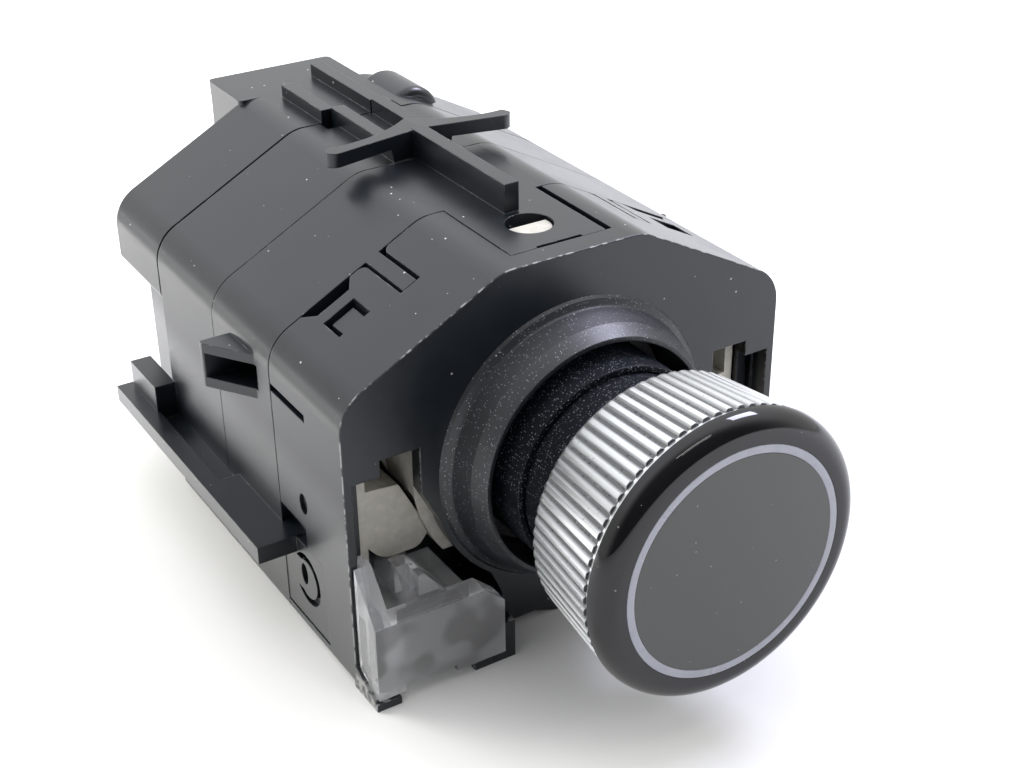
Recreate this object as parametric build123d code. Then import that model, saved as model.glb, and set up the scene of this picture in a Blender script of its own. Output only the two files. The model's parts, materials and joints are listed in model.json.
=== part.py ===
from build123d import *
import math
import os

# Rotary push switch module of a car dashboard, in millimetres.
# The origin is the centre of the face plate's front. The knob axis is Y: the knob stands
# out towards -Y and the connector opens towards +Y. X is to the right and Z is up.

# Housing section seen from the front: flat top, sloped shoulders, upright sides, flat floor
half_width = 30.4
top_z = 24.3
floor_z = -24.4
top_flat_x = 9.5
shoulder_foot_z = 13.25
crown_r = 6.0
shoulder_r = 5.5
floor_corner_r = 1.2

# Places along the knob axis
plate_t = 2.0
plate_edge_r = 0.15
skirt_depth = 18.0
neck_front_y = 3.2
seam_gap = 0.2
seat_wall_y = 11.0
seat_wall_t = 2.0
body_rear_y = 52.3
cover_gap = 0.4
cover_length = 15.2
cover_rear_y = body_rear_y + cover_length
witness_y = 34.5
witness_w = 0.16
witness_depth = 0.1
cut = 0.5

# Walls and fits
skirt_wall = 1.4
neck_wall = 1.5
body_wall = 2.0
slide_gap = 0.1
seat_gap = 0.15
free_gap = 0.3

# Knob
cap_face_y = -30.5
cap_edge_r = 2.4
knob_r = 17.35
rib_front_r = 17.2
rib_front_y = -27.2
rib_h = 0.38
rib_count = 70
groove_w = 0.68
knob_rear_r = 15.85
knob_rear_y = -15.35
knob_rear_chamfer = 0.35
inlay_inner_r = 13.05
inlay_w = 0.95
inlay_outer_r = inlay_inner_r + inlay_w
inlay_t = 0.5
ring_bore_r = 13.9
ring_skirt_bore_r = 14.6
flange_front_y = -24.0
flange_t = 2.0

# Tubes on the knob axis
stem_r = 12.2
stem_wall = 2.9
stem_rear_y = 8.0
bush_wall = 0.85
bush_front_y = -8.5
bush_flange_r = 17.5
bush_flange_t = 2.0
rotor_wall = 1.0
rotor_front_y = -10.0
rotor_web_y = 14.0
rotor_web_t = 3.0
race_r = 13.9
race_wall = 1.5
race_rear_y = 30.0
race_web_t = 2.0
race_web_front_y = race_rear_y - race_web_t
disc_front_y = 20.0
disc_t = 2.0
journal_r = 6.0
journal_gap = 0.05
journal_rear_y = 36.0
push_rod_r = 2.5
press_travel = 1.0
hub_r = 6.6
hub_rear_y = 2.0
key_count = 3
key_w = 2.0
key_depth = 0.9

# Collar round the stem
collar_base_r = 18.4
collar_foot_r = 17.25
collar_foot_y = -0.75
collar_kink_r = 16.45
collar_kink_y = -3.7
collar_lip_r = 15.5
collar_lip_y = -5.75
collar_well_r = 14.9
collar_well_y = 2.6
collar_rear_y = 4.6
spigot_r = 16.9

# Windows in the face plate, given for the right-hand one
window_margin = 1.1
window_step = 3.5
window_w = 8.6
window_outer_x = half_width - window_margin
window_step_x = window_outer_x - window_step
window_inner_x = window_outer_x - window_w
window_low_top_z = 3.5
window_high_top_z = 5.6
window_arc_r = 19.05
window_arc_from = -16.0
window_arc_to = -52.0
window_foot_x = 9.2
window_sill_z = -23.2
notch_inner_x = 2.0
notch_outer_x = 11.0

# Light guides and the tray under them
lens_front_y = -4.9
lens_t = 3.0
lens_margin = 0.4
lens_outer_x = half_width - lens_margin
lens_inner_x = 12.9
lens_top_z = -13.1
lens_chamfer = 2.6
tray_front_y = -5.1
tray_t = 1.0
tray_wall_t = 1.4
tray_root_z = -21.3
tray_inner_front_y = -4.7
tray_inner_top_z = -19.1
tray_strip_x = 17.0
guide_bed_x = 16.0
guide_bed_floor_z = -20.6
guide_bed_rear_y = 8.0
guide_post_w = 2.2
guide_post_top_z = -7.3
guide_post_rear_y = 1.8
guide_fin_top_z = -9.3
facet_top_z = -9.6
facet_w = 3.1
facet_h = 3.9
guide_bar_inset = 9.4
guide_bar_x = half_width - guide_bar_inset
guide_bar_z = -12.6
guide_bar_w = 3.0

# Light box
box_wall = 1.2
box_front_y = 3.0
box_rear_y = 10.8
box_core_r = 18.3
box_core_wall = 1.9
box_foot_z = -11.5
box_tie_z = 8.0
box_tie_t = 1.2
boss_inset = 3.6
boss_outer_x = half_width - boss_inset
boss_front_y = box_front_y + 1.0
slit_w = 0.55

# Sight hole with its peg
pad_half = 6.4
pad_gap = 0.85
peg_hole_r = 2.9
peg_y = 9.5
peg_r = 2.7
peg_flat_y = 10.1
peg_sink = 0.4
pad_slot_x = (-2.9, 3.2)
pad_slot_w = 0.45

# Snap features of the skirt, given for the right-hand side
tongue_slot_inner_x = 14.8
tongue_slot_outer_x = 17.4
tongue_slot_y = 9.1
tongue_slot_inner_gap = 0.5
tongue_slot_outer_gap = 0.4
tongue_slot_corner_r = 1.0
latch_inner_x = 20.75
latch_outer_x = 24.8
latch_front_y = 10.2
latch_rear_y = 14.2
pry_y = 16.1
finger_slot_z = 7.4
finger_slot_h = 1.0
step_z = -8.0
step_front_y = 11.2
step_foot_z = -11.0
foot_front_y = 6.8
foot_z = -22.6
dimple_y = 11.3
dimple_z = -4.7
side_ring_y = 12.2
side_ring_z = -16.1
side_ring_r = 3.5
side_ring_w = 0.9

# Side hooks
hook_reach = 4.0
hook_front_y = 22.2
hook_rear_y = 29.0
hook_top_z = 10.2
hook_floor_z = 4.3
hook_plate_t = 1.3

# Side rails
rail_reach = 5.0
rail_front_y = 14.5
rail_tail = 9.2
rail_rear_y = body_rear_y + rail_tail
rail_floor_z = -13.3
rail_top_z = -11.0
rail_web_t = 1.0
rail_pad_rear_y = 31.0
rail_lip_w = 2.4
rail_stop_rear_y = rail_rear_y - 1.0
rail_stop_front_y = rail_stop_rear_y - 9.0
rail_stop_top_z = -7.2

# Cross-shaped rib on the top
spine_half = 1.0
spine_front_y = 13.3
spine_h = 3.7
spine_rear_y = 34.7
wing_reach = 13.3
wing_front_y = 35.0
wing_t = 1.9
wing_drop = 0.5
twin_rib_inner_x = 2.1
twin_rib_w = 1.9
twin_rib_h = 2.0
twin_rib_front_y = 37.0
rib_notch_l = 2.3
rib_notch_depth = 0.9

# Rear cover
waist_depth = 3.6
lower_half_width = half_width - waist_depth
waist_top_z = 5.5
waist_foot_z = 0.0
tongue_half = 9.6
tongue_x = -1.5
tongue_t = 2.0
tongue_reach = 10.2
tongue_wall_t = 1.6
tongue_wall_z = 15.6
cover_rib_h = 1.7
cover_rib_rear_y = cover_rear_y - 2.5
long_rib_rear_y = cover_rear_y + 3.5
cover_rib_offset = 1.3
lug_r = 4.2
lug_x = 10.5
lug_z = 20.9
lug_edge_r = 1.2

# Circuit board and what it carries
board_recess = 8.3
board_front_y = body_rear_y - board_recess
board_t = 1.6
board_edge = 2.9
post_r = 2.6
post_upper = (half_width - 8.4, 8.6)
post_lower = (half_width - 10.4, floor_z + 5.8)
fin_t = 1.0
screw_r = 1.1
screw_head_r = 2.2
screw_head_t = 1.5
screw_depth = 8.0
led_w = 2.8
led_t = 1.0
switch_w = 6.0
switch_t = 3.4
plunger_r = 1.7
plunger_t = 2.4
sensor_z = 6.4
magnet_r = 9.0
magnet_t = 3.0
header_half = 11.0
header_floor_z = 4.0
header_top_z = 17.0
header_wall = 1.3
header_base_t = 6.4
header_rear_y = cover_rear_y - 0.5
pin_w = 0.64
pin_pitch = 3.2
pin_rows_z = (8.9, 12.1)
pin_count = 6
pin_rear_y = cover_rear_y - 6.5

# Detent and return spring
detent_root_r = 10.9
detent_tip_r = 11.5
detent_count = 24
detent_t = 3.0
leaf_t = 0.3
leaf_w = 2.2
spring_wire = 0.8
spring_mean_r = 4.6
spring_turns = 4

# Derived places
neck_inset = skirt_wall + seam_gap
neck_bore_inset = neck_inset + neck_wall
body_front_y = skirt_depth + seam_gap
seat_wall_rear_y = seat_wall_y + seat_wall_t
cover_front_y = body_rear_y + cover_gap
stem_bore_r = stem_r - stem_wall
rotor_r = stem_bore_r - free_gap
bush_bore_r = stem_r + slide_gap
bush_r = bush_bore_r + bush_wall
cap_rear_y = cap_face_y + cap_edge_r
rod_bore_r = push_rod_r + free_gap
board_rear_y = board_front_y + board_t
push_rod_rear_y = board_front_y - 5.0
lip_r = rib_front_r - rib_h
skirt_low_z = shoulder_foot_z - 3.0
skirt_high_z = top_z + 2 * cut
guide_outer_x = window_outer_x - free_gap


def slab(sketch, y_front, y_rear):
    """Extrude an outline drawn in (x, z) from y_front back to y_rear."""
    return extrude(Plane.XZ.offset(-y_front) * sketch, amount=y_front - y_rear)


def side_slab(sketch, x_from, x_to):
    """Extrude an outline drawn in (y, z) from x_from to x_to."""
    return extrude(Plane.YZ.offset(x_from) * sketch, amount=x_to - x_from)


def top_slab(sketch, z_from, z_to):
    """Extrude an outline drawn in (x, y) from z_from to z_to."""
    return extrude(Plane.XY.offset(z_from) * sketch, amount=z_to - z_from)


def block(x, y, z):
    """Box between the two ends given for each axis."""
    middle = Pos(sum(x) / 2, sum(y) / 2, sum(z) / 2)
    return middle * Box(x[1] - x[0], y[1] - y[0], z[1] - z[0])


def rod(radius, y_front, y_rear, x=0.0, z=0.0):
    """Round bar parallel to the knob axis."""
    return slab(Pos(x, z) * Circle(radius), y_front, y_rear)


def turned(*corners):
    """Ring turned about the knob axis from a profile of (radius, y) corners."""
    return revolve(make_face(Polyline(*corners, close=True)), Axis.Y)


def polygon(*corners):
    """Plain outline through the corners."""
    return make_face(Polyline(*corners, close=True))


def both_sides(piece):
    """The piece and its mirror image about the middle plane."""
    return piece + mirror(piece, about=Plane.YZ)


def moved_in(corners, inset):
    """Corners of an anticlockwise outline with every side moved inwards."""
    points = [Vector(*corner) for corner in corners]
    moved = []
    for index, here in enumerate(points):
        along = (here - points[index - 1]).normalized()
        onward = (points[(index + 1) % len(points)] - here).normalized()
        inward = Vector(-along.Y, along.X) + Vector(-onward.Y, onward.X)
        moved.append(here + inward * (inset / (1 + along.dot(onward))))
    return moved


def rounded(corners, radii, inset):
    """Outline moved inwards by inset, with its corner radii shrunk to match."""
    kept = [max(radius - inset, floor_corner_r / 4) for radius in radii]
    return make_face(FilletPolyline(*moved_in(corners, inset), radius=kept, close=True))


def housing_section(inset=0.0):
    """Section of the face plate, skirt and body."""
    right = [(half_width, floor_z), (half_width, shoulder_foot_z), (top_flat_x, top_z)]
    left = [(-x, z) for x, z in reversed(right)]
    radii = [floor_corner_r, shoulder_r, crown_r, crown_r, shoulder_r, floor_corner_r]
    return rounded(right + left, radii, inset)


def cover_section(inset=0.0):
    """Section of the rear cover, which is waisted below the middle."""
    right = [
        (lower_half_width, floor_z),
        (lower_half_width, waist_foot_z),
        (half_width, waist_top_z),
        (half_width, shoulder_foot_z),
        (top_flat_x, top_z),
    ]
    left = [(-x, z) for x, z in reversed(right)]
    radii = [floor_corner_r, floor_corner_r, floor_corner_r, shoulder_r, crown_r]
    return rounded(right + left, radii + radii[::-1], inset)


def on_arc(angle):
    """Point of the window's inner arc at an angle below the horizontal."""
    turn = math.radians(angle)
    return (window_arc_r * math.cos(turn), window_arc_r * math.sin(turn))


def window_outline():
    """Right-hand window: stepped top, upright outer side, inner side round the collar."""
    start = on_arc(window_arc_from)
    middle = on_arc((window_arc_from + window_arc_to) / 2)
    end = on_arc(window_arc_to)
    upper = Polyline(
        (window_foot_x, window_sill_z),
        (window_outer_x, window_sill_z),
        (window_outer_x, window_low_top_z),
        (window_step_x, window_low_top_z),
        (window_step_x, window_high_top_z),
        (window_inner_x, window_high_top_z),
        (window_inner_x, -0.5),
        start,
    )
    lower = Polyline(end, (10.4, -18.2), (window_foot_x, window_sill_z))
    return make_face(upper + ThreePointArc(start, middle, end) + lower)


def front_cover():
    """Face plate with its skirt, windows, lens trays and snap cut-outs."""
    shell = slab(housing_section(), 0, skirt_depth)
    shell = fillet(shell.faces().sort_by(Axis.Y)[0].edges(), plate_edge_r)
    shell -= slab(housing_section(skirt_wall), plate_t, skirt_depth + cut)
    shell -= rod(spigot_r + slide_gap, -cut, plate_t + cut)
    shell += both_sides(lens_tray())
    shell -= both_sides(slab(window_outline(), -cut, plate_t + cut))
    shell -= both_sides(skirt_cuts())
    pad_x = (-pad_half - seam_gap, pad_half + pad_gap)
    pad_z = (top_z - neck_inset, top_z + cut)
    shell -= block(pad_x, (neck_front_y - slide_gap, skirt_depth + cut), pad_z)
    notch = polygon(
        (notch_inner_x, floor_z),
        (notch_inner_x + 3.5, window_sill_z),
        (notch_outer_x, window_sill_z),
        (notch_outer_x, floor_z - cut),
        (notch_inner_x, floor_z - cut),
    )
    shell -= both_sides(slab(notch, -cut, plate_t))
    return shell


def lens_tray():
    """Right-hand tray that carries the lens in front of the plate."""
    root = cut
    outer = side_slab(gusset_outline(), window_outer_x - slide_gap, half_width)
    foot_x = (lens_outer_x - 2.0 * tray_wall_t, half_width)
    foot = block(foot_x, (tray_front_y, root), (floor_z, floor_z + tray_t))
    inner_x = (lens_inner_x - slide_gap - tray_wall_t, lens_inner_x - slide_gap)
    inner_y = (tray_inner_front_y, root)
    inner = block(inner_x, inner_y, (floor_z, tray_inner_top_z))
    strip = block((inner_x[0], tray_strip_x), inner_y, (floor_z, floor_z + tray_t))
    return outer + foot + inner + strip


def gusset_outline(grow=0.0):
    """Side view (y, z) of the low gusset at the outer end of a lens tray."""
    return polygon(
        (cut, tray_root_z + grow),
        (-0.2, tray_root_z + grow),
        (tray_front_y - grow, floor_z + 0.6 + grow),
        (tray_front_y - grow, floor_z),
        (cut, floor_z),
    )


def skirt_cuts():
    """Right-hand slots, latch window, pry notch and step of the skirt."""
    rear = skirt_depth + cut
    high = (skirt_low_z, skirt_high_z)
    slot = block((tongue_slot_inner_x, tongue_slot_outer_x), (tongue_slot_y, rear), high)
    slot += corner_relief(tongue_slot_inner_x, -tongue_slot_corner_r)
    slot += corner_relief(tongue_slot_outer_x, tongue_slot_corner_r)
    latch = block((latch_inner_x, latch_outer_x), (latch_front_y, latch_rear_y), high)
    pry_x = (latch_inner_x - 0.35, latch_outer_x - 0.2)
    pry_outline = polygon(
        (pry_x[0], pry_y),
        (pry_x[1], pry_y),
        (pry_x[1] + 1.6, rear),
        (pry_x[0] - 1.4, rear),
    )
    pry = top_slab(pry_outline, *high)
    finger_z = (finger_slot_z, finger_slot_z + finger_slot_h)
    finger = block((half_width - neck_inset, half_width + cut), (tongue_slot_y, rear), finger_z)
    stair = polygon(
        (rear, step_z),
        (step_front_y, step_z),
        (step_front_y, step_foot_z),
        (foot_front_y, step_foot_z),
        (foot_front_y, foot_z),
        (rear, foot_z),
    )
    dimple = Pos(dimple_y, dimple_z) * Ellipse(1.0, 1.4)
    step = side_slab(stair, half_width - neck_inset, half_width + cut)
    dent = side_slab(dimple, half_width - 0.6, half_width + cut)
    return slot + latch + pry + finger + step + dent


def corner_relief(x, reach):
    """Rounded-off corner of the skirt's rear edge beside the tongue slot at x."""
    curve = ThreePointArc(
        (x, skirt_depth - abs(reach)),
        (x + reach * 0.3, skirt_depth - abs(reach) * 0.3),
        (x + reach, skirt_depth),
    )
    rest = Polyline((x + reach, skirt_depth), (x + reach, skirt_depth + cut), (x, skirt_depth + cut))
    close = Line((x, skirt_depth + cut), (x, skirt_depth - abs(reach)))
    return top_slab(make_face(curve + rest + close), skirt_low_z, skirt_high_z)


def collar_ring():
    """Coned bezel ring pressed through the plate round the stem."""
    return turned(
        (spigot_r, collar_rear_y),
        (spigot_r, 0.0),
        (collar_base_r, 0.0),
        (collar_base_r - 0.3, -0.35),
        (collar_foot_r, collar_foot_y),
        (collar_kink_r, collar_kink_y),
        (collar_lip_r + 0.1, collar_lip_y + 0.15),
        (collar_lip_r - 0.1, collar_lip_y),
        (collar_well_r + 0.1, collar_lip_y),
        (collar_well_r, collar_lip_y + 0.15),
        (collar_well_r, collar_well_y),
        (bush_r + seat_gap, collar_well_y),
        (bush_r + seat_gap, collar_rear_y),
    )


def guide_bush():
    """Flanged sleeve in which the stem turns and slides."""
    return turned(
        (bush_bore_r, bush_front_y + 0.2),
        (bush_bore_r + 0.2, bush_front_y),
        (bush_r - 0.2, bush_front_y),
        (bush_r, bush_front_y + 0.2),
        (bush_r, seat_wall_y - bush_flange_t),
        (bush_flange_r, seat_wall_y - bush_flange_t),
        (bush_flange_r, seat_wall_y),
        (bush_bore_r, seat_wall_y),
    )


def body_housing():
    """Main body: neck inside the skirt, full section behind it, with all it carries."""
    body = slab(housing_section(neck_inset), neck_front_y, body_front_y)
    body += slab(housing_section(), body_front_y, body_rear_y)
    witness = slab(housing_section(), witness_y - witness_w / 2, witness_y + witness_w / 2)
    body -= witness - slab(housing_section(witness_depth), body_front_y, body_rear_y)
    body -= slab(housing_section(neck_bore_inset), neck_front_y - cut, seat_wall_y)
    step_rear = body_front_y + body_wall
    body -= slab(housing_section(neck_bore_inset), seat_wall_rear_y, step_rear + cut)
    body -= slab(housing_section(body_wall), step_rear, body_rear_y - body_wall)
    body -= slab(cover_section(board_edge - free_gap), body_rear_y - body_wall - cut, body_rear_y + cut)
    body += rod(race_r + race_wall, seat_wall_y, race_rear_y)
    body += both_sides(board_posts())
    body += both_sides(side_hook() + side_rail())
    body += top_rib() + sight_pad() + both_sides(skirt_fillers())
    body -= rod(race_r, seat_wall_y - cut, race_web_front_y)
    body -= rod(journal_r + journal_gap, race_web_front_y - cut, race_rear_y + cut)
    body -= both_sides(body_cuts())
    body -= Pos(0, peg_y, top_z) * Cylinder(peg_hole_r, 8)
    notch_x = (-twin_rib_inner_x - twin_rib_w - 1.7, -twin_rib_inner_x - twin_rib_w)
    notch_z = (top_z - rib_notch_depth, top_z + cut)
    return body - block(notch_x, (body_rear_y - rib_notch_l, body_rear_y + cut), notch_z)


def flush_filler(x, y, sink=0.0):
    """Raised piece of the neck that fills the skirt's thickness between x and y ends."""
    reach = block(x, y, (shoulder_foot_z - 6, top_z + cut))
    skin = slab(housing_section(sink), y[0], y[1])
    skin -= slab(housing_section(neck_inset + cut), y[0] - cut, y[1] + cut)
    return skin & reach


def sight_pad():
    """Pad flush with the skirt round the sight hole, with a slot in its front edge."""
    pad = flush_filler((-pad_half, pad_half), (neck_front_y, body_front_y + cut))
    slot_y = (neck_front_y - cut, neck_front_y + pad_slot_w)
    return pad - block(pad_slot_x, slot_y, (top_z - neck_inset, top_z + cut))


def skirt_fillers():
    """Right-hand rib in the tongue slot and the nose in the latch window."""
    rib_x = (
        tongue_slot_inner_x + tongue_slot_inner_gap,
        tongue_slot_outer_x - tongue_slot_outer_gap,
    )
    rib = flush_filler(rib_x, (tongue_slot_y + slide_gap, body_front_y + cut))
    nose_x = (latch_inner_x + 0.5, latch_outer_x - 0.8)
    nose = flush_filler(nose_x, (latch_front_y + 0.25, latch_rear_y - 0.7), 0.45)
    panel_x = (half_width - neck_inset - cut, half_width - slide_gap)
    panel_y = (foot_front_y + seam_gap, body_front_y + cut)
    panel = block(panel_x, panel_y, (foot_z + seam_gap, step_foot_z - seam_gap))
    return rib + nose + panel


def side_hook():
    """Right-hand snap wedge, cored out between its two plates."""
    wedge = polygon(
        (half_width - cut, hook_front_y),
        (half_width, hook_front_y),
        (half_width + hook_reach, hook_rear_y - 0.6),
        (half_width + hook_reach, hook_rear_y),
        (half_width - cut, hook_rear_y),
    )
    return top_slab(wedge, hook_floor_z, hook_top_z)


def side_rail():
    """Right-hand guide rail with its pad, lip and end stop."""
    outer_x = half_width + rail_reach
    lip_x = outer_x - rail_lip_w
    high = (rail_floor_z, rail_top_z)
    low = (rail_floor_z, rail_floor_z + rail_web_t)
    pad = block((half_width - cut, outer_x), (rail_front_y, rail_pad_rear_y), high)
    root = block((half_width - neck_inset - cut, half_width), (rail_front_y, body_front_y), high)
    web = block((half_width - cut, outer_x), (rail_pad_rear_y, body_rear_y), low)
    tail = block((half_width, outer_x), (body_rear_y, rail_rear_y), low)
    lip = block((lip_x, outer_x), (rail_pad_rear_y, rail_rear_y), high)
    stop_z = (rail_floor_z, rail_stop_top_z)
    stop = block((half_width, lip_x + 0.3), (rail_stop_front_y, rail_stop_rear_y), stop_z)
    return pad + root + web + tail + lip + stop


def top_rib():
    """Cross-shaped rib: spine to the front, two wings, twin ribs to the rear."""
    base = top_z - cut / 2
    crest_z = top_z + spine_h
    spine = block((-spine_half, spine_half), (spine_front_y, spine_rear_y + 1), (base, crest_z))
    root_rear_y = wing_front_y + 4.2
    bend_x = wing_reach - 1.7
    leading = Polyline((0, root_rear_y), (0, wing_front_y), (bend_x, wing_front_y - 1.1))
    tip_front = (wing_reach, wing_front_y)
    tip_rear = (wing_reach - 0.5, wing_front_y + 1.1)
    tip = ThreePointArc((bend_x, wing_front_y - 1.1), (wing_reach - 0.5, wing_front_y - 0.8), tip_front)
    tip_end = Line(tip_front, tip_rear)
    trailing = ThreePointArc(tip_rear, (wing_reach / 2, wing_front_y + 1.2), (0, root_rear_y))
    plan = top_slab(make_face(leading + tip + tip_end + trailing), base, crest_z + cut)
    root_x = twin_rib_inner_x + twin_rib_w
    front_view = polygon(
        (0, base),
        (root_x, base),
        (root_x + 0.4, crest_z - wing_t),
        (wing_reach + cut, crest_z - wing_t - wing_drop),
        (wing_reach + cut, crest_z - wing_drop),
        (0, crest_z),
    )
    wing = plan & slab(front_view, wing_front_y - 3.0, root_rear_y + cut)
    return spine + both_sides(wing + twin_rib(twin_rib_front_y, body_rear_y, twin_rib_h))


def twin_rib(y_front, y_rear, height):
    """Right-hand one of the two low ribs behind the cross."""
    x = (twin_rib_inner_x, twin_rib_inner_x + twin_rib_w)
    return block(x, (y_front, y_rear), (top_z - cut / 2, top_z + height))


def board_posts():
    """Right-hand screw posts with the fins that tie them to the wall."""
    fin_y = (body_front_y + body_wall - cut, board_front_y - 1.0)
    half = fin_t / 2
    side_x = half_width - body_wall / 2
    base_z = floor_z + body_wall / 2
    posts = block((post_upper[0], side_x), fin_y, (post_upper[1] - half, post_upper[1] + half))
    posts += block((post_lower[0] - half, post_lower[0] + half), fin_y, (base_z, post_lower[1]))
    for place in (post_upper, post_lower):
        posts += rod(post_r, seat_wall_rear_y - cut, board_front_y, *place)
    pilot_front_y = board_front_y - screw_depth - cut
    for place in (post_upper, post_lower):
        posts -= rod(screw_r + slide_gap, pilot_front_y, board_front_y + cut, *place)
    return posts


def body_cuts():
    """Right-hand hook pocket, light guide passage and round boss of the body side."""
    pocket_z = (hook_floor_z + hook_plate_t, hook_top_z - hook_plate_t)
    pocket_x = (half_width - body_wall - cut, half_width + hook_reach + cut)
    pocket = block(pocket_x, (hook_front_y - cut, hook_rear_y - 0.8), pocket_z)
    reach = guide_bar_w / 2 + free_gap
    passage = block(
        (guide_bar_x - reach, guide_bar_x + reach),
        (seat_wall_y - cut, seat_wall_rear_y + cut),
        (guide_bar_z - reach, guide_bar_z + reach),
    )
    side_x = half_width - slide_gap
    ring = Pos(side_ring_y, side_ring_z) * (Circle(side_ring_r) - Circle(side_ring_r - side_ring_w))
    ring -= Pos(side_ring_y + 2.5, side_ring_z) * Rectangle(3.0, 4.4)
    eye = Pos(side_ring_y + 0.7, side_ring_z + 0.4) * Ellipse(0.9, 1.5)
    return pocket + passage + side_slab(ring + eye, side_x - 0.8, side_x + cut)


def rear_cover():
    """Rear cover with its waist, top tongue, twin ribs and connector window."""
    spigot_front_y = body_rear_y - body_wall
    land_rear_y = cover_front_y + neck_wall
    throat = cover_section(board_edge + neck_wall)
    cover = slab(cover_section(), cover_front_y, cover_rear_y)
    cover -= slab(cover_section(body_wall), land_rear_y, cover_rear_y - body_wall)
    cover += slab(cover_section(board_edge), spigot_front_y, cover_front_y)
    cover -= slab(throat, spigot_front_y - cut, land_rear_y + cut)
    cover += rear_tongue() + rear_lug()
    cover += twin_rib(cover_front_y, long_rib_rear_y, cover_rib_h)
    short_rib = mirror(twin_rib(cover_front_y, cover_rib_rear_y, cover_rib_h), about=Plane.YZ)
    cover += Pos(-cover_rib_offset, 0, 0) * short_rib
    window_z = (header_floor_z - free_gap, header_top_z + free_gap)
    window_x = (-header_half - free_gap, header_half + free_gap)
    cover -= block(window_x, (cover_rear_y - body_wall - cut, cover_rear_y + cut), window_z)
    notch_z = (top_z - rib_notch_depth, top_z + cut)
    return cover - block((5.2, 6.8), (cover_front_y - cut, cover_front_y + 2.6), notch_z)


def rear_tongue():
    """Hood behind the cover, above the connector: a top plate with two side walls."""
    rear_y = cover_rear_y + tongue_reach
    front_y = cover_rear_y - body_wall / 2
    outline = RectangleRounded(2 * tongue_half, rear_y - front_y, 0.8)
    plate = Pos(0, (rear_y + front_y) / 2) * top_slab(outline, top_z - tongue_t, top_z)
    wall_x = (tongue_half - tongue_wall_t, tongue_half)
    wall = block(wall_x, (front_y, rear_y - 0.8), (tongue_wall_z, top_z - tongue_t / 2))
    return Pos(tongue_x, 0, 0) * (plate + both_sides(wall))


def rear_lug():
    """Rounded lug on the cover's right-hand crown."""
    front_y = cover_front_y + 3.0
    lug = rod(lug_r, front_y, cover_rear_y - 1.5, lug_x, lug_z)
    above = block((0, half_width), (front_y, cover_rear_y), (top_z - body_wall, top_z + lug_r))
    return fillet((lug & above).edges().filter_by(GeomType.CIRCLE), lug_edge_r)


def light_box():
    """White reflector box behind the plate, round the collar."""
    inset = neck_bore_inset + 0.2
    box = slab(housing_section(inset), box_front_y, box_rear_y)
    chambers = slab(housing_section(inset + box_wall), box_front_y - cut, box_rear_y - box_wall)
    core = rod(box_core_r + box_core_wall, box_front_y - 2 * cut, box_rear_y + cut)
    ties = block((-half_width, half_width), (0, box_rear_y), (box_tie_z, box_tie_z + box_tie_t))
    box -= chambers - core - ties
    box -= rod(box_core_r, box_front_y - 3 * cut, box_rear_y + cut)
    foot = block((-half_width, half_width), (0, box_rear_y + cut), (floor_z, box_foot_z))
    box -= foot
    brow_x = (boss_outer_x - box_wall - cut, half_width)
    box -= both_sides(block(brow_x, (0, boss_front_y), (floor_z, box_tie_z)))
    box += both_sides(reflector_boss())
    box -= both_sides(reflector_slit())
    reach = guide_bar_w / 2 + free_gap
    for side in (-1, 1):
        x = side * guide_bar_x
        passage_y = (box_rear_y - box_wall - cut, box_rear_y + cut)
        box -= block((x - reach, x + reach), passage_y, (guide_bar_z - reach, guide_bar_z + reach))
    peg = Pos(0, peg_y) * Circle(peg_r)
    peg -= Pos(0, peg_flat_y + peg_r) * Rectangle(4 * peg_r, 2 * peg_r)
    return box + top_slab(peg, top_z - inset - box_wall / 2, top_z - peg_sink)


def reflector_boss():
    """Right-hand rounded boss seen through the window."""
    outline = FilletPolyline(
        (boss_outer_x, -0.6),
        (boss_outer_x - 5.2, -1.1),
        (boss_outer_x - 9.0, -8.6),
        (boss_outer_x - 7.6, -10.6),
        (boss_outer_x - 2.6, -10.6),
        (boss_outer_x, -7.4),
        radius=[0.4, 0.6, 0.8, 1.8, 3.2, 2.4],
        close=True,
    )
    return slab(make_face(outline), boss_front_y, box_rear_y - cut)


def reflector_slit():
    """Right-hand narrow slit beside the boss, cut through the rear wall."""
    inner_x = boss_outer_x - 5.2
    slit = polygon(
        (inner_x, -1.0),
        (inner_x - slit_w, -0.6),
        (inner_x - slit_w - 3.6, -8.0),
        (inner_x - 3.6, -8.4),
    )
    return slab(slit, boss_front_y - cut, box_rear_y + cut)


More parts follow.
